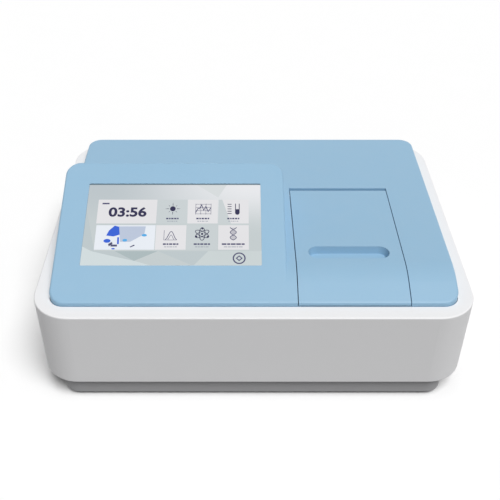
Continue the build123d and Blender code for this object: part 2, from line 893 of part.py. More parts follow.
def cell_holder(y):
    """A holder for one square cell: a well, two beam apertures, a finger notch and a spring pocket."""
    half = holder_width / 2
    top = stage_top + holder_height
    x = opening_center
    body = rounded_block(x - half, x + half, y - half, y + half, stage_top, top, 2.0)
    body = chamfer(body.faces().sort_by(Axis.Z)[-1].edges(), 0.8)
    well = cell_width / 2 + cell_fit
    body = body - block(x - well, x + well, y - well, y + well, cell_floor, top + 1)
    mouth = Pos(x, y, top - 1.6) * Solid.extrude_taper(Rectangle(2 * well, 2 * well).face(), (0, 0, 1.7), -35.0)
    body = body - mouth
    body = body - block(
        x - half - 1, x + half + 1, y - aperture_width / 2, y + aperture_width / 2,
        beam_height - aperture_height / 2, beam_height + aperture_height / 2,
    )
    pocket = spring_width / 2 + 1.0
    body = body - block(
        x - pocket, x + pocket, y + well - 1, y + well + 2.2, cell_floor + 2.0, top + 1
    )
    body = body - Pos(x, y - half, top) * Rot(90, 0, 0) * Cylinder(8.0, holder_width / 2)
    return body


def cell_springs():
    """Bowed leaf springs that press each cell into the corner of its well."""
    springs = []
    well = cell_width / 2 + cell_fit
    low = cell_floor + 4.0
    high = stage_top + holder_height - 2.0
    for y in (sample_beam_y, reference_beam_y):
        foot = y + well + 2.1
        bow = y + well + 0.1
        inner = ThreePointArc((foot - spring_thickness, low), (bow, (low + high) / 2), (foot - spring_thickness, high))
        outer = ThreePointArc((foot, high), (bow + spring_thickness, (low + high) / 2), (foot, low))
        ends = [
            Line((foot - spring_thickness, high), (foot, high)),
            Line((foot, low), (foot - spring_thickness, low)),
        ]
        face = make_face([inner, ends[0], outer, ends[1]])
        x0 = opening_center - spring_width / 2
        springs.append(extrude(Plane.YZ.offset(x0) * face, spring_width))
    return joined(springs)


# Motors


def square_motor(x, y, z_top):
    """A small square stepping motor with its face up."""
    body = rounded_block(
        x - motor_size / 2, x + motor_size / 2, y - motor_size / 2, y + motor_size / 2,
        z_top - motor_length, z_top, 3.0,
    )
    waist = block(x - motor_size, x + motor_size, y - motor_size, y + motor_size, z_top - 14.5, z_top - 5.5)
    inner = Pos(x, y, z_top - 14.5) * extrude(
        chamfer(Rectangle(motor_size - 1.0, motor_size - 1.0).vertices(), 4.0), 9.0
    )
    body = body - (waist - inner)
    return body - disc(x, y, z_top - 8.0, z_top + 1, shaft_radius + shaft_clearance)


# Optical bench

grating_motor_top = bench_bottom
mirror_motor_top = bench_bottom


def optical_bench():
    """The cast bench plate with ribs underneath, which carries all the optics and electronics."""
    plate = rounded_block(-bench_x, bench_x, -bench_y, bench_y, bench_bottom, bench_top, bench_corner)
    low = bench_bottom - bench_rib_depth
    skirt = rounded_block(-bench_x, bench_x, -bench_y, bench_y, low, bench_bottom, bench_corner)
    inner_x = bench_x - bench_rib
    inner_y = bench_y - bench_rib
    skirt = skirt - rounded_block(-inner_x, inner_x, -inner_y, inner_y, low - 1, bench_bottom, bench_corner - bench_rib)
    bench = plate + skirt
    for y in (sample_beam_y, filter_wheel_y):
        bench = bench + block(-inner_x - 1, inner_x + 1, y - bench_rib / 2, y + bench_rib / 2, low, bench_bottom)
    for x in (mono_right - bench_rib, opening_center):
        bench = bench + block(x - bench_rib / 2, x + bench_rib / 2, -inner_y - 1, inner_y + 1, low, bench_bottom)
    for x, y in corners(mount_x, mount_y):
        bench = bench - disc(x, y, bench_bottom - 1, bench_top + 1, screw_radius + 0.2)
        bench = bench - disc(x, y, bench_top - 3.0, bench_top + 1, screw_head_radius + 0.4)
    for x, y in ((grating_x, grating_y), (source_x, source_y)):
        bench = bench - disc(x, y, bench_bottom - 1, bench_top + 1, shaft_radius + 2.0)
    for x, y in stage_screw_places():
        bench = bench - disc(x, y, bench_bottom - 1, bench_top + 1, screw_radius)
    return bench


# Lamps

lamp_house_top = bench_top + lamp_house_height


def lamp_housing():
    """The folded sheet box round both lamps, with a beam port and cooling slots."""
    box = block(
        lamp_house_left, lamp_house_right, lamp_house_front, lamp_house_back, bench_top, lamp_house_top
    )
    box = box - block(
        lamp_house_left + sheet, lamp_house_right - sheet, lamp_house_front + sheet, lamp_house_back - sheet,
        bench_top + sheet, lamp_house_top + 1,
    )
    box = box - disc_y(source_x, beam_height, lamp_house_front - 1, lamp_house_front + sheet + 1, 8.0)
    slot_middle = bench_top + lamp_house_height / 2
    slot_length = lamp_house_height - 2 * lamp_slot_end
    for x in (source_x, source_x - lamp_spacing, source_x + lamp_spacing):
        for offset in (-lamp_slot_pitch, 0.0, lamp_slot_pitch):
            slot = Plane(origin=(x + offset, lamp_house_back - sheet - 1, slot_middle), z_dir=(0, 1, 0))
            cut = extrude(slot * Rot(0, 0, 90) * SlotOverall(slot_length, lamp_slot_width), sheet + 2)
            box = box - cut
    box = box - disc(source_x, source_y, bench_top - 1, bench_top + sheet + 1, shaft_radius + 2.0)
    return box


def lamp_house_lid():
    """The slotted lid of the lamp housing."""
    lid = block(
        lamp_house_left, lamp_house_right, lamp_house_front, lamp_house_back, lamp_house_top, lamp_house_top + sheet
    )
    count = 9
    slot_length = lamp_house_depth - 2 * lamp_slot_end
    for index in range(count):
        x = source_x + (index - (count - 1) / 2) * lamp_slot_pitch
        slot = extrude(Rot(0, 0, 90) * SlotOverall(slot_length, lamp_slot_width), sheet + 2)
        lid = lid - Pos(x, source_y, lamp_house_top - 1) * slot
    return lid


lamp_floor = bench_top + sheet
glass_wall = 1.2
deuterium_x = source_x + lamp_spacing
halogen_x = source_x - lamp_spacing


def lamp_sockets():
    """Ceramic sockets under the two lamps."""
    wide = disc(deuterium_x, source_y, lamp_floor, lamp_floor + 4.0, lamp_flange_radius - 3.0)
    narrow = rounded_block(
        halogen_x - 9.0, halogen_x + 9.0, source_y - 7.0, source_y + 7.0, lamp_floor, lamp_floor + 11.0, 2.0
    )
    return wide + narrow


def lamp_flange():
    """The pre-aligned metal flange of the deuterium lamp."""
    base = lamp_floor + 4.0
    flange = disc(deuterium_x, source_y, base, base + 3.0, lamp_flange_radius)
    for angle in (30, 150, 270):
        x = deuterium_x + (lamp_flange_radius - 4.0) * cos(radians(angle))
        y = source_y + (lamp_flange_radius - 4.0) * sin(radians(angle))
        flange = flange - disc(x, y, base - 1, base + 4.0, 1.7)
    return flange


def deuterium_lamp():
    """The deuterium lamp's glass envelope, a closed tube with a domed top."""
    base = lamp_floor + 7.0
    outline = make_face([
        Line((0, 0), (lamp_radius, 0)),
        Line((lamp_radius, 0), (lamp_radius, lamp_length - lamp_radius)),
        ThreePointArc(
            (lamp_radius, lamp_length - lamp_radius),
            (lamp_radius * cos(pi / 4), lamp_length - lamp_radius + lamp_radius * sin(pi / 4)),
            (0, lamp_length),
        ),
        Line((0, lamp_length), (0, 0)),
    ])
    bulb = revolve(Plane.XZ * outline, Axis.Z)
    inner = Pos(0, 0, glass_wall) * scale(bulb, by=(lamp_radius - glass_wall) / lamp_radius)
    return Pos(deuterium_x, source_y, base) * (bulb - inner)


def deuterium_base():
    """The deuterium lamp's flange, with the electrode box that stands in the glass on three stems."""
    base = lamp_floor + 7.0
    half = 7.0
    top = beam_height + 9.0
    box = rounded_block(
        deuterium_x - half, deuterium_x + half, source_y - half, source_y + half, beam_height - 9.0, top, 2.0
    )
    box = box - disc_x(source_y, beam_height, deuterium_x - half - 1, deuterium_x - half + 3.0, 2.0)
    for offset in (-4.0, 0.0, 4.0):
        box = box + disc(deuterium_x + offset, source_y, base + glass_wall, beam_height - 9.0, 0.8)
    return box + lamp_flange()


def tungsten_lamp():
    """The halogen capsule lamp on its two pins."""
    base = lamp_floor + 11.0
    bulb = disc(halogen_x, source_y, base, base + halogen_length - halogen_radius, halogen_radius)
    bulb = bulb + Pos(halogen_x, source_y, base + halogen_length - halogen_radius) * Sphere(halogen_radius)
    return bulb


# Source mirror

source_shaft_bottom = mirror_motor_top - 7.0
source_mirror_base = beam_height - source_mirror_height / 2 - 3.0


def source_mirror_mount():
    """The turning mount of the source mirror, on its motor's shaft."""
    mount = disc(source_x, source_y, source_shaft_bottom, source_mirror_base, shaft_radius)
    mount = mount + disc(source_x, source_y, lamp_floor + 4.0, source_mirror_base, 5.0)
    mount = mount + disc(source_x, source_y, source_mirror_base, source_mirror_base + 3.0, 12.0)
    back = block(-9.0, 9.0, 1.0, 4.0, source_mirror_base + 3.0, beam_height + 8.0)
    return mount + Pos(source_x, source_y, 0) * Rot(0, 0, 45) * back


def source_mirror():
    """The flat source mirror, which faces one lamp at a time."""
    half = source_mirror_width / 2
    low = source_mirror_base + 3.0
    plate = block(-half, half, -2.0, 1.0, low, low + source_mirror_height)
    return Pos(source_x, source_y, 0) * Rot(0, 0, 45) * plate


# Filter wheel

wheel_x = source_x + filter_pitch
wheel_front = filter_wheel_y - filter_wheel_thickness / 2
wheel_back = filter_wheel_y + filter_wheel_thickness / 2


def filter_places():
    """The centres of the filter holes, as (x, z)."""
    step = 2 * pi / filter_count
    return [
        (wheel_x - filter_pitch * cos(step * k), beam_height + filter_pitch * sin(step * k))
        for k in range(filter_count)
    ]


def filter_wheel():
    """The wheel that carries the order-sorting filters, with its hub."""
    wheel = disc_y(wheel_x, beam_height, wheel_front, wheel_back, filter_wheel_radius)
    wheel = wheel + disc_y(wheel_x, beam_height, wheel_front - 3.0, wheel_front, 5.0)
    for x, z in filter_places():
        wheel = wheel - disc_y(x, z, wheel_front - 1, wheel_back + 1, filter_hole - 1.0)
        wheel = wheel - disc_y(x, z, wheel_front - 1, wheel_front + 2.5, filter_hole)
    notch = block(wheel_x - 1.5, wheel_x + 1.5, wheel_front - 1, wheel_back + 1, beam_height + 21.5, beam_height + 30)
    shaft = disc_y(wheel_x, beam_height, wheel_back, filter_motor_face + filter_plate + 8.0, shaft_radius)
    return wheel - notch + shaft


def order_filters():
    """The coloured filters in the wheel; one hole stays open."""
    panes = []
    for x, z in filter_places()[1:]:
        panes.append(disc_y(x, z, wheel_front + 0.5, wheel_front + 2.5, filter_hole - 0.1))
    return joined(panes)


filter_motor_face = wheel_back + 3.0
filter_plate = 2.0


def filter_motor():
    """The round motor behind the filter wheel."""
    face = filter_motor_face + filter_plate
    body = disc_y(wheel_x, beam_height, face, face + small_motor_length - 2.0, small_motor_radius)
    return body - disc_y(wheel_x, beam_height, face - 1, face + 8.2, shaft_radius + shaft_clearance)


def drive_motors():
    """The three motors: two square ones hung under the bench and a round one on its angle."""
    square = [
        square_motor(source_x, source_y, mirror_motor_top),
        square_motor(grating_x, grating_y, grating_motor_top),
    ]
    return joined(square) + filter_motor()


def filter_bracket():
    """The angle that holds the filter motor up from the bench."""
    face = filter_motor_face
    plate = rounded_block(-14.0, 14.0, 0.0, beam_height + 14.0 - bench_top, 0, filter_plate, 3.0)
    plate = Pos(wheel_x, face + filter_plate, bench_top) * Rot(90, 0, 0) * plate
    foot = block(wheel_x - 14.0, wheel_x + 14.0, face - 9.0, face + filter_plate, bench_top, bench_top + filter_plate)
    bracket = plate + foot
    return bracket - disc_y(wheel_x, beam_height, face - 1, face + filter_plate + 1, shaft_radius + 0.5)


# Monochromator

mono_floor = bench_top + mono_wall
mono_top = bench_top + mono_height
exit_y = reference_beam_y


def monochromator_housing():
    """The cast box of the monochromator, with a slit port in its back wall and one in its right wall."""
    box = rounded_block(mono_left, mono_right, mono_front, mono_back, bench_top, mono_top, 6.0)
    box = box - rounded_block(
        mono_left + mono_wall, mono_right - mono_wall, mono_front + mono_wall, mono_back - mono_wall,
        mono_floor, mono_top + 1, 3.0,
    )
    box = box - disc_y(source_x, beam_height, mono_back - mono_wall - 1, mono_back + 1, 6.0)
    box = box - disc_x(exit_y, beam_height, mono_right - mono_wall - 1, mono_right + 1, 6.0)
    box = box - disc(grating_x, grating_y, bench_top - 1, mono_floor + 1, shaft_radius + 2.0)
    for x, y in mono_screw_places():
        box = box + disc(x, y, mono_floor, mono_top, 5.0)
        box = box - disc(x, y, mono_top - 10.0, mono_top + 1, screw_radius)
    return box


def mono_screw_places():
    """The lid screws of the monochromator."""
    middle_x = (mono_left + mono_right) / 2
    middle_y = (mono_front + mono_back) / 2
    half_x = (mono_right - mono_left) / 2 - mono_wall - 3.0
    half_y = (mono_back - mono_front) / 2 - mono_wall - 3.0
    return [(middle_x + sx * half_x, middle_y + sy * half_y) for sx in (-1, 1) for sy in (-1, 1)]


def monochromator_lid():
    """The monochromator's lid plate with stiffening ribs."""
    lid = rounded_block(mono_left, mono_right, mono_front, mono_back, mono_top, mono_top + mono_lid, 6.0)
    for y in (mono_front + 50.0, mono_back - 50.0):
        lid = lid + block(mono_left + 15.0, mono_right - 15.0, y - 1.5, y + 1.5, mono_top + mono_lid, mono_top + 6.0)
    for x, y in mono_screw_places():
        lid = lid - disc(x, y, mono_top - 1, mono_top + mono_lid + 1, screw_radius + 0.2)
    return lid


def grating_mount():
    """The turntable and upright that carry the grating, on the drive shaft."""
    base = beam_height - grating_size / 2 - turntable_thickness
    mount = disc(grating_x, grating_y, grating_motor_top - 7.0, base, shaft_radius)
    mount = mount + disc(grating_x, grating_y, mono_floor + 2.0, base, 6.0)
    mount = mount + disc(grating_x, grating_y, base, base + turntable_thickness, turntable_radius)
    upright = block(-14.0, 14.0, 0.0, 4.0, base + turntable_thickness - 0.5, beam_height + grating_size / 2 - 2.0)
    return mount + Pos(grating_x, grating_y, 0) * upright


def diffraction_grating():
    """The grating block, its ruled face over the turning axis."""
    half = grating_size / 2
    low = beam_height - half
    return Pos(grating_x, grating_y, 0) * block(-half, half, -grating_thickness, 0.0, low, low + grating_size)


mirror_places = [
    (source_x - 8.0, mono_front + 17.0, 12.0),
    (mono_right - 42.0, mono_front + 17.0, -8.0),
]
fold_place = (mono_right - 28.0, exit_y, 135.0)


def mirror_blank(radius, thickness):
    """A round mirror facing +Y at the origin, with a hollow front."""
    blank = Rot(90, 0, 0) * Cylinder(radius, thickness)
    return blank - Pos(0, thickness / 2 + mirror_focus * 2 - 1.0, 0) * Sphere(mirror_focus * 2)


def monochromator_mirrors():
    """The collimating and focusing mirrors and the flat fold mirror at the exit."""
    pieces = []
    for x, y, turn in mirror_places:
        pieces.append(Pos(x, y, beam_height) * Rot(0, 0, turn) * mirror_blank(mirror_radius, mirror_thickness))
    x, y, turn = fold_place
    pieces.append(Pos(x, y, beam_height) * Rot(0, 0, turn) * block(-10.0, 10.0, -1.5, 1.5, -11.0, 11.0))
    return joined(pieces)


def mirror_mounts():
    """Angle brackets behind the three mirrors."""
    pieces = []
    for x, y, turn in mirror_places:
        back = block(-14.0, 14.0, -mirror_thickness / 2 - 3.0, -mirror_thickness / 2, 0, beam_height + 12.0 - mono_floor)
        foot = block(-14.0, 14.0, -mirror_thickness / 2 - 3.0, 8.0, 0, 3.0)
        pieces.append(Pos(x, y, mono_floor) * Rot(0, 0, turn) * (back + foot))
    x, y, turn = fold_place
    back = block(-9.0, 9.0, -4.5, -1.5, 0, beam_height + 9.0 - mono_floor)
    foot = block(-9.0, 9.0, -10.0, -1.5, 0, 3.0)
    pieces.append(Pos(x, y, mono_floor) * Rot(0, 0, turn) * (back + foot))
    return joined(pieces)


def slit_plates():
    """Thin plates with the entrance slit and the exit slit, on the outside of the housing."""
    slit_width = 0.8
    slit_height = 8.0
    entrance = disc_y(source_x, beam_height, mono_back, mono_back + 2.0, 10.0)
    entrance = entrance - block(
        source_x - slit_width / 2, source_x + slit_width / 2, mono_back - 1, mono_back + 3.0,
        beam_height - slit_height / 2, beam_height + slit_height / 2,
    )
    outlet = disc_x(exit_y, beam_height, mono_right, mono_right + 2.0, 10.0)
    outlet = outlet - block(
        mono_right - 1, mono_right + 3.0, exit_y - slit_width / 2, exit_y + slit_width / 2,
        beam_height - slit_height / 2, beam_height + slit_height / 2,
    )
    return entrance + outlet


# Beam optics and detectors


def optic_post(x, y, turn):
    """An upright with a foot, which holds a round optic at beam height."""
    back = block(-optic_radius, optic_radius, -4.5, -1.5, 0, beam_height + optic_radius - 2.0 - bench_top)
    back = back - disc_y(0, beam_height - bench_top, -5.0, 0.0, optic_radius - 3.0)
    foot = block(-optic_radius, optic_radius, -12.0, -1.5, 0, 3.0)
    return Pos(x, y, bench_top) * Rot(0, 0, turn) * (back + foot)


def beam_posts():
    """The posts of the beam splitter and of the sample-beam mirror."""
    return optic_post(splitter_x, reference_beam_y, 45.0) + optic_post(splitter_x, sample_beam_y, 225.0)


def tilted_optic(x, y, turn):
    """A round plate standing at beam height."""
    plate = Pos(0, 0, 0) * Rot(90, 0, 0) * Cylinder(optic_radius, optic_thickness)
    return Pos(x, y, beam_height) * Rot(0, 0, turn) * plate


def lens_holders():
    """Rings on feet for the two focusing lenses."""
    pieces = []
    for y in (sample_beam_y, reference_beam_y):
        plane = Plane(origin=(lens_x - 3.0, y, bench_top), x_dir=(0, 1, 0), z_dir=(1, 0, 0))
        ring = plane * rounded_block(-14.0, 14.0, 0, beam_height + 14.0 - bench_top, 0, 6.0, 4.0)
        ring = ring - disc_x(y, beam_height, lens_x - 4.0, lens_x + 4.0, 10.2)
        pieces.append(ring)
    return joined(pieces)


def focusing_lenses():
    """Two biconvex lenses in front of the compartment's ports."""
    radius = 10.0
    edge = 1.5
    dome = 3.0
    outline = make_face([
        ThreePointArc((-radius, edge), (0, dome), (radius, edge)),
        Line((radius, edge), (radius, -edge)),
        ThreePointArc((radius, -edge), (0, -dome), (-radius, -edge)),
        Line((-radius, -edge), (-radius, edge)),
    ])
    half = split(outline, Plane.YZ)
    lens = revolve(half, Axis.Y)
    return joined([Pos(lens_x, y, beam_height) * Rot(0, 0, 90) * lens for y in (sample_beam_y, reference_beam_y)])


detector_left = tub_right + detector_gap


def detector(y):
    """A detector block on a foot, with a round inlet towards the compartment."""
    x0 = detector_left
    x1 = detector_left + detector_length
    half = detector_width / 2
    body = rounded_block(x0, x1, y - half, y + half, bench_top, beam_height + half, 2.5)
    body = body - disc_x(y, beam_height, x0 - 1, x1 - 6.0, 8.0)
    return body - block(x0 + 6.0, x1 - 4.0, y - half - 1, y + half + 1, bench_top + 5.0, beam_height - 12.0)


def photodiodes():
    """Round photodiodes at the bottom of the detector bores."""
    pieces = []
    x1 = detector_left + detector_length - 6.0
    for y in (sample_beam_y, reference_beam_y):
        can = disc_x(y, beam_height, x1 - 4.0, x1, 6.0)
        pieces.append(can)
    return joined(pieces)


def detector_board():
    """The preamplifier board behind both detectors."""
    x0 = detector_left + detector_length
    board = block(
        x0, x0 + board_thickness, sample_beam_y - 18.0, reference_beam_y + 18.0, bench_top + 8.0, beam_height + 18.0
    )
    for y in (sample_beam_y, reference_beam_y):
        can = block(x0 + board_thickness, x0 + board_thickness + 5.0, y - 10.0, y + 10.0, beam_height - 10.0,
                    beam_height + 10.0)
        board = board + can
    return board


# Electronics


def power_supply():
    """The switched power supply in its slotted sheet case."""
    case = block(supply_left, supply_right, supply_front, supply_back, bench_top, bench_top + supply_height)
    case = case - block(
        supply_left + sheet, supply_right + 1, supply_front + sheet, supply_back - sheet, bench_top + sheet,
        bench_top + supply_height - sheet,
    )
    rows = 4
    columns = 6
    inset = 16.0
    across = (supply_width - 2 * inset) / (columns - 1)
    along = (supply_back - supply_front - 2 * inset) / (rows - 1)
    slot = extrude(SlotOverall(across * 0.65, 3.0), sheet + 2)
    for row in range(rows):
        for column in range(columns):
            x = supply_left + inset + column * across
            y = supply_front + inset + row * along
            case = case - Pos(x, y, bench_top + supply_height - sheet - 1) * slot
    return case


def supply_board():
    """The power supply's board with its transformer, capacitors and terminal block."""
    standoff = 4.0
    z = bench_top + sheet + standoff
    board = block(
        supply_left + sheet + 1, supply_right - 1, supply_front + sheet + 1, supply_back - sheet - 1, z,
        z + board_thickness,
    )
    top = z + board_thickness
    middle_x = (supply_left + supply_right) / 2
    middle_y = (supply_front + supply_back) / 2
    core = 13.0
    board = board + block(middle_x - core, middle_x + core, middle_y - core, middle_y + core, top, top + 22.0)
    for y in (middle_y - 12.0, middle_y + 12.0):
        board = board + disc(supply_left + 20.0, y, top, top + 25.0, 9.0)
    board = board + disc(middle_x + 22.0, supply_front + 16.0, top, top + 16.0, 5.0)
    block_end = 10.0
    board = board + block(
        supply_right - 14.0, supply_right - 1.0, supply_front + block_end, supply_back - block_end, top, top + 12.0
    )
    foot_x = supply_width / 2 - 8.0
    foot_y = (supply_back - supply_front) / 2 - 7.0
    for x, y in corners(foot_x, foot_y):
        board = board + disc(middle_x + x, middle_y + y, bench_top + sheet, z, 3.0)
    return board


main_left = lamp_house_right + main_to_lamps
main_right = supply_left - main_to_supply
main_middle = (main_left + main_right) / 2
main_front = supply_front
main_back = rear_face - sheet - 2.0
main_z = bench_top + main_standoff


def main_board():
    """The main circuit board with its processor, memory and connectors."""
    board = rounded_block(main_left, main_right, main_front, main_back, main_z, main_z + board_thickness, 2.0)
    top = main_z + board_thickness
    chip_y = main_front + 41.0
    for x, half_x, half_y, height in ((-9.0, 13.0, 13.0, 2.0), (21.0, 7.0, 9.0, 1.2), (-30.0, 4.0, 20.0, 7.0)):
        chip = block(
            main_middle + x - half_x, main_middle + x + half_x, chip_y - half_y, chip_y + half_y, top, top + height
        )
        board = board + chip
    socket_front = main_front + 6.0
    board = board + block(main_middle - 22.0, main_middle + 22.0, socket_front, socket_front + 6.0, top, top + 7.0)
    for x in (main_middle + 26.0, main_middle + 34.0):
        board = board + disc(x, main_front + 20.0, top, top + 11.0, 3.5)
    return board


def board_spacers():
    """Spacers under the main board."""
    pieces = []
    for x in (main_left + 6.0, main_right - 6.0):
        for y in (main_front + 6.0, main_back - 14.0):
            pieces.append(disc(x, y, bench_top, main_z, 3.0))
    return joined(pieces)


# Rear panel

panel_inner = rear_face - sheet
fan_x = source_x
fan_z = (rear_panel_bottom + rear_panel_top) / 2
port_z = main_z + board_thickness


def rear_panel():
    """The recessed steel rear panel with its cut-outs."""
    panel = block(
        -rear_x - rear_panel_lap, rear_x + rear_panel_lap, panel_inner, rear_face,
        rear_panel_bottom - rear_panel_lap + 2.5, rear_panel_top + rear_panel_lap - 4.0,
    )
    panel = panel - disc_y(fan_x, fan_z, panel_inner - 1, rear_face + 1, fan_bore)
    for x, z in fan_screw_places():
        panel = panel - disc_y(x, z, panel_inner - 1, rear_face + 1, screw_radius + 0.2)
    panel = panel - block(
        inlet_x - inlet_body_width / 2, inlet_x + inlet_body_width / 2, panel_inner - 1, rear_face + 1,
        inlet_z - inlet_body_height / 2, inlet_z + inlet_body_height / 2,
    )
    panel = panel - block(
        switch_x - switch_body_width / 2, switch_x + switch_body_width / 2, panel_inner - 1, rear_face + 1,
        inlet_z - switch_body_height / 2, inlet_z + switch_body_height / 2,
    )
    for x, width, height in port_places:
        panel = panel - block(
            x - width / 2 - port_gap, x + width / 2 + port_gap, panel_inner - 1, rear_face + 1, port_z - port_gap,
            port_z + height + port_gap,
        )
    for index in range(vent_count):
        plane = Plane(origin=(vent_left + index * vent_pitch, panel_inner - 1, vent_z), z_dir=(0, 1, 0))
        panel = panel - extrude(plane * Rot(0, 0, 90) * SlotOverall(vent_length, vent_width), sheet + 2)
    return panel


vent_left = fan_x + 43.0
vent_count = 8
vent_pitch = 7.0
vent_z = fan_z + 14.0
vent_length = 26.0
vent_width = 3.0
port_gap = 0.4
port_wall = 0.8
inlet_body_width = 28.0
inlet_body_height = 32.0
inlet_flange_width = 52.0
inlet_flange_height = 36.0
inlet_flange_thickness = 2.5
inlet_depth = 22.0
socket_width = 24.4
socket_height = 16.2
socket_depth = 16.0
socket_z = inlet_z + 5.0
drawer_width = 20.0
drawer_height = 7.0
drawer_depth = 16.0
drawer_z = inlet_z - 10.5
drawer_gap = 0.3
switch_body_width = 13.6
switch_body_height = 21.6
switch_flange = 2.0
switch_depth = 16.0
port_places = [
    (main_middle - 28.0, 12.0, 10.6), (main_middle - 4.0, 14.4, 7.0), (main_middle + 28.0, 19.0, 11.0),
]


def socket_outline(width, height, corner):
    """The six-sided outline of the inlet, with its two upper corners cut."""
    half = width / 2
    tall = height / 2
    return make_face(Polyline(
        (-half, -tall), (half, -tall), (half, tall - corner), (half - corner, tall), (-half + corner, tall),
        (-half, tall - corner), close=True,
    ))


def rear_plane(x, z, y):
    """A plane on the back of the object that faces outwards, with its local Y upwards."""
    return Plane(origin=(x, y, z), x_dir=(-1, 0, 0), z_dir=(0, 1, 0))


def power_inlet():
    """The three-pin appliance inlet with a fuse drawer below the socket."""
    plane = rear_plane(inlet_x, inlet_z, rear_face)
    flange = plane * extrude(RectangleRounded(inlet_flange_width, inlet_flange_height, 5.0), inlet_flange_thickness)
    body = block(
        inlet_x - inlet_body_width / 2 + 0.2, inlet_x + inlet_body_width / 2 - 0.2, rear_face - inlet_depth,
        rear_face + 0.1, inlet_z - inlet_body_height / 2 + 0.2, inlet_z + inlet_body_height / 2 - 0.2,
    )
    inlet = flange + body
    front = rear_face + inlet_flange_thickness
    cavity = rear_plane(inlet_x, socket_z, front - socket_depth) * extrude(
        socket_outline(socket_width, socket_height, 4.5), socket_depth + 1
    )
    inlet = inlet - cavity
    inlet = inlet - block(
        inlet_x - drawer_width / 2, inlet_x + drawer_width / 2, front - drawer_depth - drawer_gap, front + 1,
        drawer_z - drawer_height / 2, drawer_z + drawer_height / 2,
    )
    for side in (-1, 1):
        x = inlet_x + side * 20.0
        inlet = inlet - disc_y(x, inlet_z, rear_face - 1, front + 1, screw_radius + 0.2)
    return inlet


def inlet_pins():
    """The three flat contact pins of the inlet."""
    front = rear_face + inlet_flange_thickness
    base = front - socket_depth
    pins = []
    for x, z in ((-7.0, -2.0), (7.0, -2.0), (0.0, 2.0)):
        pins.append(block(
            inlet_x + x - 1.0, inlet_x + x + 1.0, base, front - 3.0, socket_z + z - 2.2, socket_z + z + 2.2
        ))
    return joined(pins)


def fuse_drawer():
    """The sliding fuse drawer with a finger catch."""
    front = rear_face + inlet_flange_thickness
    body = block(
        inlet_x - drawer_width / 2 + drawer_gap, inlet_x + drawer_width / 2 - drawer_gap, front - drawer_depth,
        front + 0.6, drawer_z - drawer_height / 2 + drawer_gap, drawer_z + drawer_height / 2 - drawer_gap,
    )
    body = body - block(
        inlet_x - drawer_width / 2 + 2.0, inlet_x + drawer_width / 2 - 2.0, front - drawer_depth + 1.5, front - 3.0,
        drawer_z - drawer_height / 2 + 1.5, drawer_z + drawer_height,
    )
    catch = block(inlet_x - 4.0, inlet_x + 4.0, front, front + 1.8, drawer_z + 1.2, drawer_z + 2.8)
    return body + catch


def power_switch():
    """The frame of the rocker switch."""
    front = rear_face + switch_flange
    flange = rear_plane(switch_x, inlet_z, rear_face) * extrude(
        RectangleRounded(switch_body_width + 4.0, switch_body_height + 4.0, 2.0), switch_flange
    )
    body = block(
        switch_x - switch_body_width / 2 + 0.2, switch_x + switch_body_width / 2 - 0.2, rear_face - switch_depth,
        rear_face + 0.1, inlet_z - switch_body_height / 2 + 0.2, inlet_z + switch_body_height / 2 - 0.2,
    )
    frame = flange + body
    frame = frame - block(
        switch_x - rocker_width / 2 - rocker_gap, switch_x + rocker_width / 2 + rocker_gap, rear_face - 9.0,
        front + 1, inlet_z - rocker_room, inlet_z + rocker_room,
    )
    reach = rocker_width / 2 + rocker_gap + trunnion_length
    bore = trunnion_radius + shaft_clearance
    return frame - trunnion(reach + 0.1, bore)


def trunnion(reach, radius):
    """The pin that the rocker turns on, through both its sides."""
    return disc_x(rocker_axis_y, inlet_z, switch_x - reach, switch_x + reach, radius)


rocker_gap = 0.3
trunnion_radius = 1.2
trunnion_length = 0.7
rocker_width = 10.0
rocker_half = 8.0
rocker_room = 9.3
rocker_rest = 10.0
rocker_axis_y = rear_face - 1.5


def power_rocker():
    """The rocker of the power switch, tilted to its off side."""
    outline = make_face(Polyline(
        (-rocker_half, 4.6), (0.0, 3.0), (rocker_half, 4.6), (rocker_half, 0.0), (3.0, -4.0), (-3.0, -4.0),
        (-rocker_half, 0.0), close=True,
    ))
    body = extrude(outline, rocker_width / 2, both=True)
    plane = Plane(origin=(switch_x, rocker_axis_y, inlet_z), x_dir=(0, 0, 1), z_dir=(-1, 0, 0))
    rocker = plane * (Rot(0, 0, rocker_rest) * body)
    return rocker + trunnion(rocker_width / 2 + rocker_gap + trunnion_length, trunnion_radius)


def fan_screw_places():
    """The fan's four fixing points, as (x, z)."""
    offset = fan_size / 2 - 5.0
    return [(fan_x + sx * offset, fan_z + sz * offset) for sx in (-1, 1) for sz in (-1, 1)]


fan_back = panel_inner
fan_front = panel_inner - fan_depth


def fan_frame():
    """The square fan frame with its motor mount and three struts."""
    half = fan_size / 2
    plane = rear_plane(fan_x, fan_z, fan_front)
    frame = plane * extrude(RectangleRounded(fan_size, fan_size, 4.0), fan_depth)
    frame = frame - disc_y(fan_x, fan_z, fan_front - 1, fan_back + 1, fan_bore)
    rims = plane * Pos(0, 0, 3.0) * extrude(
        RectangleRounded(fan_size + 2, fan_size + 2, 4.0) - Circle(fan_bore + 1.2), fan_depth - 6.0
    )
    frame = frame - rims
    for x, z in fan_screw_places():
        frame = frame - disc_y(x, z, fan_front - 1, fan_back + 1, 1.9)
    frame = frame + disc_y(fan_x, fan_z, fan_front, fan_front + 3.0, fan_hub)
    for index in range(3):
        strut = block(-1.5, 1.5, 0, half - 1.5, 0, 3.0)
        frame = frame + plane * (Rot(0, 0, 120 * index + 45) * strut)
    frame = frame + disc_y(fan_x, fan_z, fan_front + 2.9, fan_front + 10.0, 2.0)
    return frame


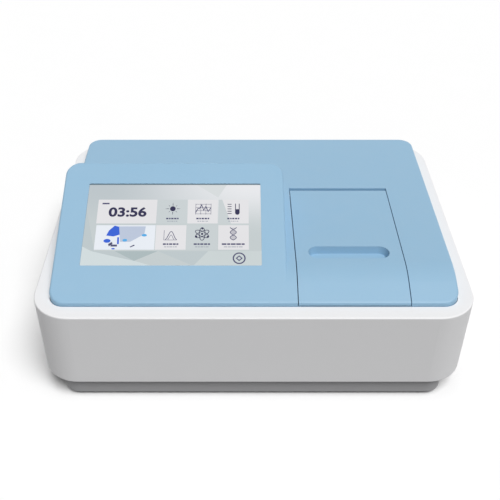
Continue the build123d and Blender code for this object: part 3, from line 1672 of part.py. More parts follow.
def fan_rotor():
    """The fan's hub and its swept blades."""
    z0 = 4.0
    length = fan_depth - 6.0
    tip = fan_bore - fan_tip_gap
    hub = Pos(0, 0, z0) * extrude(Circle(fan_hub), length)
    hub = hub - Pos(0, 0, z0 - 1) * extrude(Circle(fan_hub - 1.5), length - 0.5)
    hub = hub + Pos(0, 0, z0 + 0.5) * extrude(Circle(3.5), length - 1.0)
    hub = hub - Pos(0, 0, z0 - 1) * extrude(Circle(2.0 + shaft_clearance), 8.0)
    rotor = hub
    for index in range(fan_blades):
        root = Rectangle(11.0, 1.2)
        blade = extrude(Plane(origin=(fan_hub - 1.0, 0, z0 + length / 2), x_dir=(0, 0, 1), z_dir=(1, 0, 0)) *
                        Rot(0, 0, 38) * root, tip - fan_hub + 1.0)
        blade = blade & Pos(0, 0, z0) * extrude(Circle(tip), length)
        rotor = rotor + Rot(0, 0, index * 360 / fan_blades) * blade
    return rear_plane(fan_x, fan_z, fan_front) * rotor


def fan_guard():
    """The wire guard outside the fan opening."""
    wire = 0.9
    y = rear_face + wire
    plane = rear_plane(fan_x, fan_z, y)
    guard = None
    for radius in (9.0, 16.0, 23.0, 30.0):
        ring = plane * Torus(radius, wire)
        guard = ring if guard is None else guard + ring
    for angle in (45, 135):
        bar = Rot(0, 0, angle) * Rot(0, 90, 0) * Cylinder(wire, 2 * (fan_size / 2 - 5.0) * 2 ** 0.5 + 4.0)
        guard = guard + plane * bar
    return guard & block(
        fan_x - fan_size, fan_x + fan_size, rear_face, rear_face + 4.0, fan_z - fan_size, fan_z + fan_size
    )


def data_ports():
    """The sockets for data leads, which stand on the main board and look out of the rear panel."""
    pieces = []
    for x, width, height in port_places:
        half = width / 2
        middle = port_z + height / 2
        shell = block(x - half, x + half, main_back - 12.0, rear_face + 1.0, port_z, port_z + height)
        shell = shell - block(
            x - half + port_wall, x + half - port_wall, rear_face - 9.0, rear_face + 2.0, port_z + port_wall,
            port_z + height - port_wall,
        )
        tongue = block(x - half / 2, x + half / 2, rear_face - 9.5, rear_face - 1.0, middle - 1.2, middle + 1.2)
        pieces.append(shell + tongue)
    return joined(pieces)


def machine_screw(x, y, seat, grip, up=False):
    """A small screw standing on end, with its head at the seat; its thread points down, or up."""
    way = -1 if up else 1
    head = disc(x, y, min(seat, seat + way * screw_head_height), max(seat, seat + way * screw_head_height),
                screw_head_radius)
    thread = disc(x, y, min(seat, seat - way * grip), max(seat, seat - way * grip), screw_radius - 0.1)
    return head + thread


def machine_screws():
    """All the screws of the fixed body: cover, bench, monochromator lid and cell stage."""
    pieces = [machine_screw(x, y, seat_z - ledge_thickness, ledge_thickness + 8.0, up=True)
              for x, y in cover_screw_places()]
    pieces += [machine_screw(x, y, bench_top - 3.0, bench_thickness + mount_height, up=False)
               for x, y in corners(mount_x, mount_y)]
    pieces += [machine_screw(x, y, mono_top + mono_lid, mono_lid + 6.0) for x, y in mono_screw_places()]
    pieces += [machine_screw(x, y, stage_top - 2.4, stage_thickness + tub_floor) for x, y in stage_screw_places()]
    return joined(pieces)


def build():
    """Make every piece of the instrument."""
    node("base_plinth", base_plinth())
    node("rubber_feet", rubber_feet())
    node("bench_mounts", bench_mounts())
    node("optical_bench", optical_bench())
    node("casing", casing())
    node("top_cover", top_cover())
    node("machine_screws", machine_screws())
    node("display_glass", display_glass())
    node("display_panel", display_panel())
    node("display_bracket", display_bracket())
    node("display_board", display_board())
    node("sample_lid", sample_lid())
    node("lid_liner", lid_liner())
    node("liner_screws", liner_screws())
    node("lid_magnets", lid_magnets())
    node("hinge_rod", hinge_rod())
    node("compartment_tub", compartment_tub())
    node("light_seal", light_seal())
    node("beam_windows", beam_windows())
    node("cell_stage", cell_stage())
    node("sample_cell_holder", cell_holder(sample_beam_y))
    node("reference_cell_holder", cell_holder(reference_beam_y))
    node("cell_springs", cell_springs())
    node("lamp_housing", lamp_housing())
    node("lamp_house_lid", lamp_house_lid())
    node("lamp_sockets", lamp_sockets())
    node("deuterium_base", deuterium_base())
    node("deuterium_lamp", deuterium_lamp())
    node("tungsten_lamp", tungsten_lamp())
    node("source_mirror_mount", source_mirror_mount())
    node("source_mirror", source_mirror())
    node("drive_motors", drive_motors())
    node("filter_wheel", filter_wheel())
    node("order_filters", order_filters())
    node("filter_bracket", filter_bracket())
    node("monochromator_housing", monochromator_housing())
    node("monochromator_lid", monochromator_lid())
    node("grating_mount", grating_mount())
    node("diffraction_grating", diffraction_grating())
    node("slit_plates", slit_plates())
    node("optic_mounts", mirror_mounts() + beam_posts() + lens_holders())
    node("fixed_mirrors", monochromator_mirrors() + tilted_optic(splitter_x, sample_beam_y, 225.0))
    node("beam_splitter", tilted_optic(splitter_x, reference_beam_y, 45.0))
    node("focusing_lenses", focusing_lenses())
    node("detectors", detector(sample_beam_y) + detector(reference_beam_y))
    node("detector_board", detector_board() + photodiodes())
    node("power_supply", power_supply())
    node("supply_board", supply_board())
    node("main_board", main_board() + board_spacers())
    node("rear_panel", rear_panel())
    node("data_ports", data_ports())
    node("power_inlet", power_inlet())
    node("inlet_pins", inlet_pins())
    node("fuse_drawer", fuse_drawer())
    node("power_switch", power_switch())
    node("power_rocker", power_rocker())
    node("fan_frame", fan_frame())
    node("fan_rotor", fan_rotor())
    node("fan_guard", fan_guard())


build()
os.makedirs("parts", exist_ok=True)
for name, shape in nodes.items():
    export_step(shape, "parts/" + name + ".step")
print(len(nodes), "nodes written")
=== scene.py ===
# %% [markdown]
# # A bench spectrophotometer, dressed
#
# The CAD model gives every housing, screw and mirror at its real size. This lesson adds what CAD leaves
# out: moulded plastic, cast and folded metal, glass, and the picture on the lit display.
# Nothing that CAD made is moved. A new piece is worked out from a CAD piece, so that it sits on it
# from every side, and it rides on the same body.

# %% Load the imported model
import json
from math import atan2, cos, degrees, pi, radians, sin

import bpy
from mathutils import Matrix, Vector


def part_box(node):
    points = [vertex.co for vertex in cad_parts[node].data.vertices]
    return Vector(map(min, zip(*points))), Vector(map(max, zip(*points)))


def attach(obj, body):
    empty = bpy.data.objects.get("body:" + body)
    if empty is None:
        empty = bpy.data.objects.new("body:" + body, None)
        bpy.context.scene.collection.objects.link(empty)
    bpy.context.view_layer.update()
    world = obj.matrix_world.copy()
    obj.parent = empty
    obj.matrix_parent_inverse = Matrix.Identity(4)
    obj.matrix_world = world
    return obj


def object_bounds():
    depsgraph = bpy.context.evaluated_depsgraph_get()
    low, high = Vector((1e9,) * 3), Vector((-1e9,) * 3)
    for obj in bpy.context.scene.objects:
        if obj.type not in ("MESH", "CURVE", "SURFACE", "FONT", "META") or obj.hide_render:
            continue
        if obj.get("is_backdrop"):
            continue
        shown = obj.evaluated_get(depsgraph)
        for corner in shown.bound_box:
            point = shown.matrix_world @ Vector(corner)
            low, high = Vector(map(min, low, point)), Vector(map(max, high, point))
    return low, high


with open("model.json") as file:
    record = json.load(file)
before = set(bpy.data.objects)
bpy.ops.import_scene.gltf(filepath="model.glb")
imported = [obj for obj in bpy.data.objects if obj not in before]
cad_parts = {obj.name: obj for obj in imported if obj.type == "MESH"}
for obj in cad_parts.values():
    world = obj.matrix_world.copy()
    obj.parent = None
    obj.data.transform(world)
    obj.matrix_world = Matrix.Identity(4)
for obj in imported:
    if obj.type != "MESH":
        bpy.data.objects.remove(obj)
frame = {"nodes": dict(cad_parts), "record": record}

cad_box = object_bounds()
mm = 0.001
print(len(frame["nodes"]), "CAD pieces,", [round(v, 3) for v in cad_box[1] - cad_box[0]], "metres")

# %% [markdown]
# ## Building blocks for node trees
#
# A finish in Blender is a tree of nodes that ends in a Principled BSDF. Writing the same eight lines for
# each tree hides what is special about a finish, so small helpers come first. One adds a node and fills
# its sockets: a value may be a plain number, or the output of another node, and then it becomes a link.
# The others are the few kinds of node that every finish here needs. The mix node calls its sockets the same
# for numbers and for colours, so the colour ones are found by their place in its list.

# %% Helpers for nodes
MIX_FACTOR, MIX_FIRST, MIX_SECOND, MIX_RESULT = 0, 6, 7, 2


def add(tree, kind, sockets=None, **settings):
    """Adds a node, changes its settings, and fills or links the sockets named."""
    node = tree.nodes.new(kind)
    for name, value in settings.items():
        setattr(node, name, value)
    for name, value in (sockets or {}).items():
        if isinstance(value, bpy.types.NodeSocket):
            tree.links.new(value, node.inputs[name])
        else:
            node.inputs[name].default_value = value
    return node


def opaque(colour):
    """Gives a plain colour its fourth number, and leaves a node's output as it is."""
    return colour if isinstance(colour, bpy.types.NodeSocket) else (*colour, 1.0)


def mix_colour(tree, factor, first, second):
    """A colour between two colours."""
    sockets = {MIX_FACTOR: factor, MIX_FIRST: opaque(first), MIX_SECOND: opaque(second)}
    return add(tree, "ShaderNodeMix", sockets, data_type="RGBA").outputs[MIX_RESULT]


def maths(tree, operation, first, second=0.0):
    """One step of arithmetic."""
    return add(tree, "ShaderNodeMath", {0: first, 1: second}, operation=operation).outputs[0]


def spread(tree, value, low, high):
    """Carries a value between 0 and 1 to another range."""
    return add(tree, "ShaderNodeMapRange", {"Value": value, "To Min": low, "To Max": high}).outputs[0]


def ramp(tree, value, start, end):
    """Rises smoothly from 0 to 1 while a value goes from start to end."""
    sockets = {"Value": value, "From Min": start, "From Max": end}
    return add(tree, "ShaderNodeMapRange", sockets, interpolation_type="SMOOTHSTEP").outputs[0]


def object_place(tree):
    """The shaded point in the piece's own coordinates, which move with it."""
    return add(tree, "ShaderNodeTexCoord").outputs["Object"]


def noise(tree, place, scale, detail):
    """A soft random pattern between 0 and 1."""
    return add(tree, "ShaderNodeTexNoise", {"Vector": place, "Scale": scale, "Detail": detail}).outputs["Fac"]


print("helpers for nodes ready")

# %% Helpers for materials and groups
FLOAT = "NodeSocketFloat"
COLOUR = "NodeSocketColor"
VECTOR = "NodeSocketVector"


def new_material(name):
    """A material with only a shader and an output."""
    material = bpy.data.materials.new(name)
    material.use_nodes = True
    tree = material.node_tree
    tree.nodes.clear()
    shader = tree.nodes.new("ShaderNodeBsdfPrincipled")
    output = tree.nodes.new("ShaderNodeOutputMaterial")
    tree.links.new(shader.outputs["BSDF"], output.inputs["Surface"])
    return material, tree, shader


def set_bump(tree, shader, height, depth, normal=None):
    """Lets a height pattern tilt the surface by a real depth, over another normal if there is one."""
    sockets = {"Height": height, "Distance": depth}
    if normal is not None:
        sockets["Normal"] = normal
    bump = add(tree, "ShaderNodeBump", sockets)
    tree.links.new(bump.outputs["Normal"], shader.inputs["Normal"])


def new_group(name, inputs, outputs):
    """A shared node group with named sockets; inputs are given as name: (kind, value)."""
    group = bpy.data.node_groups.new(name, "ShaderNodeTree")
    for label, (kind, value) in inputs.items():
        socket = group.interface.new_socket(name=label, in_out="INPUT", socket_type=kind)
        socket.default_value = value
    for label, kind in outputs.items():
        group.interface.new_socket(name=label, in_out="OUTPUT", socket_type=kind)
    return group, group.nodes.new("NodeGroupInput").outputs, group.nodes.new("NodeGroupOutput").inputs


def use_group(tree, group, **sockets):
    """Places a shared group in a material and returns its outputs."""
    return add(tree, "ShaderNodeGroup", sockets, node_tree=group).outputs


print("helpers for materials and groups ready")

# %% [markdown]
# ## Shared effect 1: the grain of a moulded or painted surface
#
# A steel mould is spark-eroded, and the plastic copies its fine pits. Powder coat has rounder bumps, and a
# sand casting coarser ones. All three are the same effect at another size: a cell pattern for the pits
# with a noise over it. Object coordinates are used, so the grain stays where it is when a part moves.
# The group also gives a slow tone, because no large moulding has quite one colour.

# %% Grain group
PIT_WEIGHT = 0.6
GRAIN_LEVEL = 0.6

grain, into, out = new_group(
    "fine_grain",
    {"Size": (FLOAT, 0.8 * mm), "Patch": (FLOAT, 60 * mm)},
    {"Height": FLOAT, "Tone": FLOAT},
)
place = object_place(grain)
fineness = maths(grain, "DIVIDE", 1.0, into["Size"])
pits = add(grain, "ShaderNodeTexVoronoi", {"Vector": place, "Scale": fineness}, feature="SMOOTH_F1")
pit_height = maths(grain, "MULTIPLY", pits.outputs["Distance"], PIT_WEIGHT)
height = maths(grain, "ADD", pit_height, noise(grain, place, fineness, detail=2.0))
grain.links.new(maths(grain, "MULTIPLY", height, GRAIN_LEVEL), out["Height"])
patchiness = maths(grain, "DIVIDE", 1.0, into["Patch"])
grain.links.new(noise(grain, place, patchiness, detail=3.0), out["Tone"])
print("group", grain.name)

# %% [markdown]
# ## Shared effect 2: edges
#
# No real edge is perfectly sharp. The Bevel node looks round the shaded point and returns the normal that a
# small rounding would have, so sharp CAD edges catch a thin line of light. Where that normal leaves the true
# one there is an edge, and the difference makes a mask: paint rubs through there and plastic gets polished.

# %% Edge group
BREAKUP_SCALE = 180.0

edges, into, out = new_group(
    "soft_edge",
    {"Radius": (FLOAT, 0.5 * mm), "Reach": (FLOAT, 0.25)},
    {"Mask": FLOAT, "Normal": VECTOR},
)
rounded = add(edges, "ShaderNodeBevel", {"Radius": into["Radius"]}, samples=4).outputs["Normal"]
true_normal = add(edges, "ShaderNodeNewGeometry").outputs["Normal"]
agree = add(edges, "ShaderNodeVectorMath", {0: rounded, 1: true_normal}, operation="DOT_PRODUCT")
bend = maths(edges, "SUBTRACT", 1.0, agree.outputs["Value"])
breakup = noise(edges, object_place(edges), BREAKUP_SCALE, detail=4.0)
rubbed = maths(edges, "MULTIPLY", maths(edges, "DIVIDE", bend, into["Reach"]), breakup)
edges.links.new(add(edges, "ShaderNodeClamp", {"Value": rubbed}).outputs[0], out["Mask"])
edges.links.new(rounded, out["Normal"])
print("group", edges.name)

# %% [markdown]
# ## Shared effect 3: a trace of dust
#
# Even a new instrument has some dust by the time it is photographed. It lies on faces that look up, in
# soft drifts. The normal's height gives the first half and a noise the second. The mask is weak
# on purpose: it should be missed only when it is gone.

# %% Dust group
dust, into, out = new_group(
    "settled_dust",
    {"Amount": (FLOAT, 0.1), "Drift": (FLOAT, 20 * mm)},
    {"Mask": FLOAT},
)
facing = add(dust, "ShaderNodeNewGeometry").outputs["Normal"]
up = add(dust, "ShaderNodeSeparateXYZ", {0: facing}).outputs["Z"]
drift_scale = maths(dust, "DIVIDE", 1.0, into["Drift"])
drifts = noise(dust, object_place(dust), drift_scale, detail=6.0)
lying = maths(dust, "MULTIPLY", maths(dust, "MAXIMUM", up, 0.0), drifts)
dust.links.new(maths(dust, "MULTIPLY", lying, into["Amount"]), out["Mask"])
print("group", dust.name)

# %% [markdown]
# ## Shared effect 4: rolled and brushed metal
#
# Sheet metal leaves the mill with fine lines along the rolling direction. A noise that is stretched
# very long one way gives them. The direction is an input, because a bent bracket, a plate and a rod are all
# cut from the sheet in their own way.

# %% Drawn-metal group
STAIN_SCALE = 25.0

drawn, into, out = new_group(
    "drawn_lines",
    {"Stretch": (VECTOR, (1.0, 60.0, 60.0)), "Fineness": (FLOAT, 60.0)},
    {"Height": FLOAT, "Tone": FLOAT},
)
place = object_place(drawn)
pulled = add(drawn, "ShaderNodeVectorMath", {0: place, 1: into["Stretch"]}, operation="MULTIPLY")
lines = noise(drawn, pulled.outputs[0], into["Fineness"], detail=4.0)
stains = noise(drawn, place, STAIN_SCALE, detail=3.0)
drawn.links.new(lines, out["Height"])
drawn.links.new(maths(drawn, "MULTIPLY", maths(drawn, "ADD", lines, stains), 0.5), out["Tone"])
print("group", drawn.name)

# %% [markdown]
# ## Finishes made from the groups
#
# Each kind of finish is one function. What differs from part to part is what a maker would order by:
# the colour, how coarse the grain is, how deep, and how glossy. Pits, depths and edge radii are real
# lengths in millimetres.

# %% Moulded plastic, rubber and paint
DUST_COLOUR = (0.62, 0.60, 0.57)
MOULD_EDGE = 0.4
RUB_STRENGTH = 0.35
RUB_KEEPS, RUB_ADDS = 0.6, 0.35


def tinted(colour, factor):
    """A darker or lighter version of a colour, at most white."""
    return tuple(min(c * factor, 1.0) for c in colour)


def moulded(name, colour, gloss, pit, depth, lift=1.06, dusty=0.06):
    """Moulded plastic, rubber or powder coat: a fine grain over one colour, paler along rubbed edges."""
    material, tree, shader = new_material(name)
    texture = use_group(tree, grain, Size=pit * mm)
    rim = use_group(tree, edges, Radius=MOULD_EDGE * mm)
    fall = use_group(tree, dust, Amount=dusty)
    base = mix_colour(tree, texture["Tone"], tinted(colour, 1 / lift), tinted(colour, lift))
    paler = tuple(c * RUB_KEEPS + RUB_ADDS for c in colour)
    base = mix_colour(tree, maths(tree, "MULTIPLY", rim["Mask"], RUB_STRENGTH), base, paler)
    base = mix_colour(tree, fall["Mask"], base, DUST_COLOUR)
    tree.links.new(base, shader.inputs["Base Color"])
    tree.links.new(spread(tree, texture["Tone"], *gloss), shader.inputs["Roughness"])
    set_bump(tree, shader, texture["Height"], depth * mm, rim["Normal"])
    return material


print("moulded finishes ready")

# %% Metals
SCRATCHED = (0.9, 0.9, 0.9)
BARE_METAL = (0.72, 0.72, 0.73)
LINE_DEPTH = 0.02
METAL_EDGE, METAL_RUB, METAL_SHADES = 0.3, 0.25, (0.86, 1.10)
CASTING_EDGE, CASTING_RUB, CASTING_SHADES = 0.4, 0.6, (0.85, 1.12)
CASTING_GLOSS_REACH = 0.08


def metal(name, colour, gloss, stretch=(1.0, 40.0, 40.0)):
    """Rolled, turned or plated metal, with fine lines along it."""
    material, tree, shader = new_material(name)
    texture = use_group(tree, drawn, Stretch=stretch)
    rim = use_group(tree, edges, Radius=METAL_EDGE * mm)
    base = mix_colour(tree, texture["Tone"], *(tinted(colour, shade) for shade in METAL_SHADES))
    base = mix_colour(tree, maths(tree, "MULTIPLY", rim["Mask"], METAL_RUB), base, SCRATCHED)
    tree.links.new(base, shader.inputs["Base Color"])
    tree.links.new(spread(tree, texture["Tone"], *gloss), shader.inputs["Roughness"])
    shader.inputs["Metallic"].default_value = 1.0
    set_bump(tree, shader, texture["Height"], LINE_DEPTH * mm, rim["Normal"])
    return material


def cast_metal(name, colour, roughness, pit, depth):
    """Bare or anodised casting: metallic, with an even pitted grain."""
    material, tree, shader = new_material(name)
    texture = use_group(tree, grain, Size=pit * mm, Patch=30 * mm)
    rim = use_group(tree, edges, Radius=CASTING_EDGE * mm)
    base = mix_colour(tree, texture["Tone"], *(tinted(colour, shade) for shade in CASTING_SHADES))
    base = mix_colour(tree, maths(tree, "MULTIPLY", rim["Mask"], CASTING_RUB), base, BARE_METAL)
    tree.links.new(base, shader.inputs["Base Color"])
    low, high = roughness - CASTING_GLOSS_REACH, roughness + CASTING_GLOSS_REACH
    tree.links.new(spread(tree, texture["Tone"], low, high), shader.inputs["Roughness"])
    shader.inputs["Metallic"].default_value = 1.0
    set_bump(tree, shader, texture["Height"], depth * mm, rim["Normal"])
    return material


print("metal finishes ready")

# %% Glass, mirrors and the circuit boards
BOARD_COLOUR, TRACK_COLOUR = (0.012, 0.13, 0.05), (0.06, 0.30, 0.12)
BOARD_PATTERN = {
    "Scale": 90.0, "Mortar Size": 0.06, "Mortar Smooth": 0.1, "Bias": 0.0,
    "Color1": (0.0, 0.0, 0.0, 1.0), "Color2": (0.25, 0.25, 0.25, 1.0), "Mortar": (1.0, 1.0, 1.0, 1.0),
}
TRACK_HEIGHT = 0.04
GLASS_GLOSS, MIRROR_GLOSS, BOARD_GLOSS = (0.01, 0.06), (0.03, 0.09), (0.25, 0.40)
WIPED_SHADE = 0.97
MIRROR_DUST = 0.05


def clear_glass(name, colour, index):
    """Polished glass or quartz, with faint wiping marks in its gloss."""
    material, tree, shader = new_material(name)
    film = use_group(tree, grain, Size=4 * mm, Patch=20 * mm)
    base = mix_colour(tree, film["Tone"], tinted(colour, WIPED_SHADE), colour)
    tree.links.new(base, shader.inputs["Base Color"])
    tree.links.new(spread(tree, film["Tone"], *GLASS_GLOSS), shader.inputs["Roughness"])
    shader.inputs["Transmission Weight"].default_value = 1.0
    shader.inputs["IOR"].default_value = index
    return material


def mirror(name, colour, line_depth, line_fineness):
    """A coated optical face; a grating shows its ruled lines as a silky sheen."""
    material, tree, shader = new_material(name)
    ruled = use_group(tree, drawn, Stretch=(80.0, 80.0, 1.0), Fineness=line_fineness)
    fall = use_group(tree, dust, Amount=MIRROR_DUST)
    base = mix_colour(tree, fall["Mask"], colour, DUST_COLOUR)
    tree.links.new(base, shader.inputs["Base Color"])
    tree.links.new(spread(tree, ruled["Tone"], *MIRROR_GLOSS), shader.inputs["Roughness"])
    shader.inputs["Metallic"].default_value = 1.0
    set_bump(tree, shader, ruled["Height"], line_depth * mm)
    return material


def circuit_board(name):
    """Green solder mask with copper tracks under it."""
    material, tree, shader = new_material(name)
    sockets = {"Vector": object_place(tree), **BOARD_PATTERN}
    tracks = add(tree, "ShaderNodeTexBrick", sockets).outputs["Color"]
    base = mix_colour(tree, tracks, BOARD_COLOUR, TRACK_COLOUR)
    tree.links.new(base, shader.inputs["Base Color"])
    texture = use_group(tree, grain, Size=0.6 * mm)
    tree.links.new(spread(tree, texture["Tone"], *BOARD_GLOSS), shader.inputs["Roughness"])
    set_bump(tree, shader, tracks, TRACK_HEIGHT * mm)
    return material


print("glass, mirror and board finishes ready")

# %% [markdown]
# ## The display's light
#
# A liquid-crystal display gives its own light: it is picture, not paint. So its colours go to Emission, over
# a nearly black base, and the smooth surface on top still mirrors the room a little. Two things tell the eye
# that it is a real panel: the backlight is never quite even, and close up there is a fine grid of pixels.
# Both sit in one shared group, because every tile and icon on the display uses them. The ground behind the
# tiles could be a plate of its own, but the glass already lies there, so the glass shines with it.

# %% Lit-panel group
GLOW_SCALE = 14.0
PIXEL_DIM = 0.02

panel_light, into, out = new_group(
    "panel_light",
    {"Colour": (COLOUR, (0.5, 0.5, 0.5, 1.0)), "Pixel": (FLOAT, 0.25 * mm), "Unevenness": (FLOAT, 0.05)},
    {"Colour": COLOUR},
)
place = object_place(panel_light)
glow = noise(panel_light, place, GLOW_SCALE, detail=2.0)
pixel_scale = maths(panel_light, "DIVIDE", 0.5, into["Pixel"])
grid = add(panel_light, "ShaderNodeTexChecker", {"Vector": place, "Scale": pixel_scale}).outputs["Fac"]
dim = maths(panel_light, "MULTIPLY", glow, into["Unevenness"])
dim = maths(panel_light, "ADD", dim, maths(panel_light, "MULTIPLY", grid, PIXEL_DIM))
panel_light.links.new(mix_colour(panel_light, dim, into["Colour"], (0.0, 0.0, 0.0)), out["Colour"])
print("group", panel_light.name)

# %% Lit finishes
NEARLY_BLACK, WIPED = (0.01, 0.01, 0.01), (0.02, 0.02, 0.02)
SCREEN_GLOSS, SCREEN_SPECULAR = (0.12, 0.20), 0.3
SIDEWAYS, UPWARD = (0.08, 0.95), (0.40, 0.95)
glass_low, glass_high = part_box("display_glass")
glass_size = glass_high - glass_low


def shine(tree, shader, colour):
    """Makes a surface shine with a picture's colour, under a dark and smooth top."""
    light = use_group(tree, panel_light, Colour=colour)["Colour"]
    tree.links.new(light, shader.inputs["Emission Color"])
    shader.inputs["Emission Strength"].default_value = 1.0
    film = use_group(tree, grain, Size=3 * mm, Patch=50 * mm)
    top = mix_colour(tree, film["Tone"], NEARLY_BLACK, WIPED)
    tree.links.new(top, shader.inputs["Base Color"])
    tree.links.new(spread(tree, film["Tone"], *SCREEN_GLOSS), shader.inputs["Roughness"])
    shader.inputs["Specular IOR Level"].default_value = SCREEN_SPECULAR


def lit(name, colour):
    """A part of the display's picture, in one colour."""
    material, tree, shader = new_material(name)
    shine(tree, shader, opaque(colour))
    return material


def lit_ground(name, low_colour, left_colour, right_colour):
    """The picture's ground: one tone below, and above it a slow change from left to right."""
    material, tree, shader = new_material(name)
    spot = add(tree, "ShaderNodeSeparateXYZ", {0: object_place(tree)}).outputs
    sideways = ramp(tree, spot["X"], *(glass_low.x + share * glass_size.x for share in SIDEWAYS))
    upward = ramp(tree, spot["Z"], *(glass_low.z + share * glass_size.z for share in UPWARD))
    above = mix_colour(tree, sideways, left_colour, right_colour)
    shine(tree, shader, mix_colour(tree, upward, low_colour, above))
    return material


print("lit finishes ready, glass", [round(v / mm, 1) for v in glass_size], "mm")

# %% [markdown]
# ## One finish for each material slot
#
# The record of the part says which slot each CAD piece belongs to, so the finishes go into a dictionary by
# slot, and one loop dresses every piece. What moulding, casting and rolling need is kept in three tables.
# The housing colours are a pale sky blue for the cover, a cold white for the casing and a mid grey for the
# base. They were matched on flat, evenly lit faces.

# %% Choose the finishes
plastics = {
    "white_plastic": dict(colour=(0.85, 0.85, 0.86), gloss=(0.42, 0.54), pit=1.0, depth=0.05, lift=1.015),
    "blue_plastic": dict(colour=(0.272, 0.465, 0.635), gloss=(0.40, 0.50), pit=0.6, depth=0.02, lift=1.015),
    "base_paint": dict(colour=(0.41, 0.41, 0.42), gloss=(0.50, 0.65), pit=0.8, depth=0.05),
    "panel_paint": dict(colour=(0.60, 0.61, 0.62), gloss=(0.45, 0.60), pit=0.9, depth=0.05),
    "black_rubber": dict(colour=(0.022, 0.022, 0.022), gloss=(0.70, 0.90), pit=0.7, depth=0.06, dusty=0.15),
    "black_foam": dict(colour=(0.014, 0.014, 0.014), gloss=(0.85, 0.98), pit=0.5, depth=0.10),
    "black_plastic": dict(colour=(0.020, 0.020, 0.021), gloss=(0.45, 0.60), pit=0.6, depth=0.03),
    "gloss_black": dict(colour=(0.012, 0.012, 0.012), gloss=(0.12, 0.22), pit=3.0, depth=0.01),
    "motor_black": dict(colour=(0.030, 0.030, 0.032), gloss=(0.35, 0.50), pit=0.7, depth=0.03),
    "black_casting": dict(colour=(0.028, 0.028, 0.030), gloss=(0.50, 0.65), pit=1.1, depth=0.09, dusty=0.12),
    "ceramic_white": dict(colour=(0.78, 0.76, 0.71), gloss=(0.60, 0.75), pit=0.8, depth=0.04),
}
castings = {
    "cast_aluminium": dict(colour=(0.46, 0.46, 0.47), roughness=0.62, pit=1.2, depth=0.08),
    "black_anodised": dict(colour=(0.030, 0.030, 0.034), roughness=0.38, pit=0.4, depth=0.02),
}
metals = {
    "sheet_steel": dict(colour=(0.56, 0.57, 0.58), gloss=(0.28, 0.45)),
    "panel_metal": dict(colour=(0.62, 0.62, 0.63), gloss=(0.22, 0.38)),
    "screw_steel": dict(colour=(0.60, 0.60, 0.61), gloss=(0.20, 0.34)),
    "spring_steel": dict(colour=(0.56, 0.56, 0.54), gloss=(0.18, 0.30), stretch=(40.0, 40.0, 1.0)),
    "magnet_nickel": dict(colour=(0.66, 0.65, 0.62), gloss=(0.12, 0.22)),
    "contact_brass": dict(colour=(0.74, 0.66, 0.47), gloss=(0.20, 0.32), stretch=(40.0, 1.0, 40.0)),
    "bright_wire": dict(colour=(0.66, 0.66, 0.67), gloss=(0.14, 0.26)),
}
finish = {
    "quartz": clear_glass("quartz", (0.97, 0.985, 1.0), 1.46),
    "filter_glass": clear_glass("filter_glass", (0.85, 0.42, 0.10), 1.52),
    "mirror_coat": mirror("mirror_coat", (0.86, 0.87, 0.89), line_depth=0.001, line_fineness=20.0),
    "grating_coat": mirror("grating_coat", (0.70, 0.68, 0.84), line_depth=0.02, line_fineness=240.0),
    "board_green": circuit_board("board_green"),
    "screen_glass": lit_ground(
        "screen_glass", low_colour=(0.545, 0.60, 0.61), left_colour=(0.49, 0.545, 0.575),
        right_colour=(0.80, 0.81, 0.835),
    ),
}
for make, table in ((moulded, plastics), (cast_metal, castings), (metal, metals)):
    for name, settings in table.items():
        finish[name] = make(name, **settings)
print(len(finish), "finishes")

# %% Dress every CAD piece
slot_of = {part["node"]: part["material_slot"] for part in frame["record"]["subparts"]}
for name, piece in frame["nodes"].items():
    if not piece.data.materials:
        piece.data.materials.append(None)
    for slot in piece.material_slots:
        slot.material = finish[slot_of[name]]
print(len(slot_of), "pieces dressed")

# %% [markdown]
# ## A plane to draw the display on
#
# The glass lies on the cover's slope. Its CAD box is lined up with the room, but the box's middle is the
# glass's middle, and three directions follow from the slope: across, up the slope, and out of the glass.
# A point of the picture is then two plain lengths in millimetres from the middle of the window. A thin
# sheet's depth and height in its box are its length times the cosine and the sine of the slope, so the box
# also shows whether the angle is right.

# %% The display's plane
GLASS_THICKNESS = 1.8 * mm
SLOPE = radians(20.3)
across = Vector((1.0, 0.0, 0.0))
up_slope = Vector((0.0, cos(SLOPE), sin(SLOPE)))
outward = Vector((0.0, -sin(SLOPE), cos(SLOPE)))
glass_face = (glass_low + glass_high) / 2 + outward * GLASS_THICKNESS / 2


def on_glass(x, y, above):
    """A point of the picture, x to the right and y up the slope, in millimetres."""
    return glass_face + across * (x * mm) + up_slope * (y * mm) + outward * (above * mm)


measured = degrees(atan2(glass_size.z, glass_size.y))
print("slope", round(degrees(SLOPE), 1), "degrees, from the box", round(measured, 1))

# %% [markdown]
# ## Flat pieces of a picture
#
# Every tile, icon and bar is a flat outline. Drawing each as a very thin closed solid keeps the
# mesh sound, and lets pieces be stacked in layers a few hundredths of a millimetre apart, with no flicker
# between them. Two makers are enough: plates from outlines, and ribbons of even width along a line.

# %% Makers of flat pieces
LAYER = 0.04
SHARPEST_MITRE = 0.35


def as_piece(name, mesh, material, body):
    """Puts a mesh in the scene with its finish, on its body and in its slot."""
    mesh.materials.append(material)
    piece = bpy.data.objects.new(name, mesh)
    bpy.context.scene.collection.objects.link(piece)
    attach(piece, body)


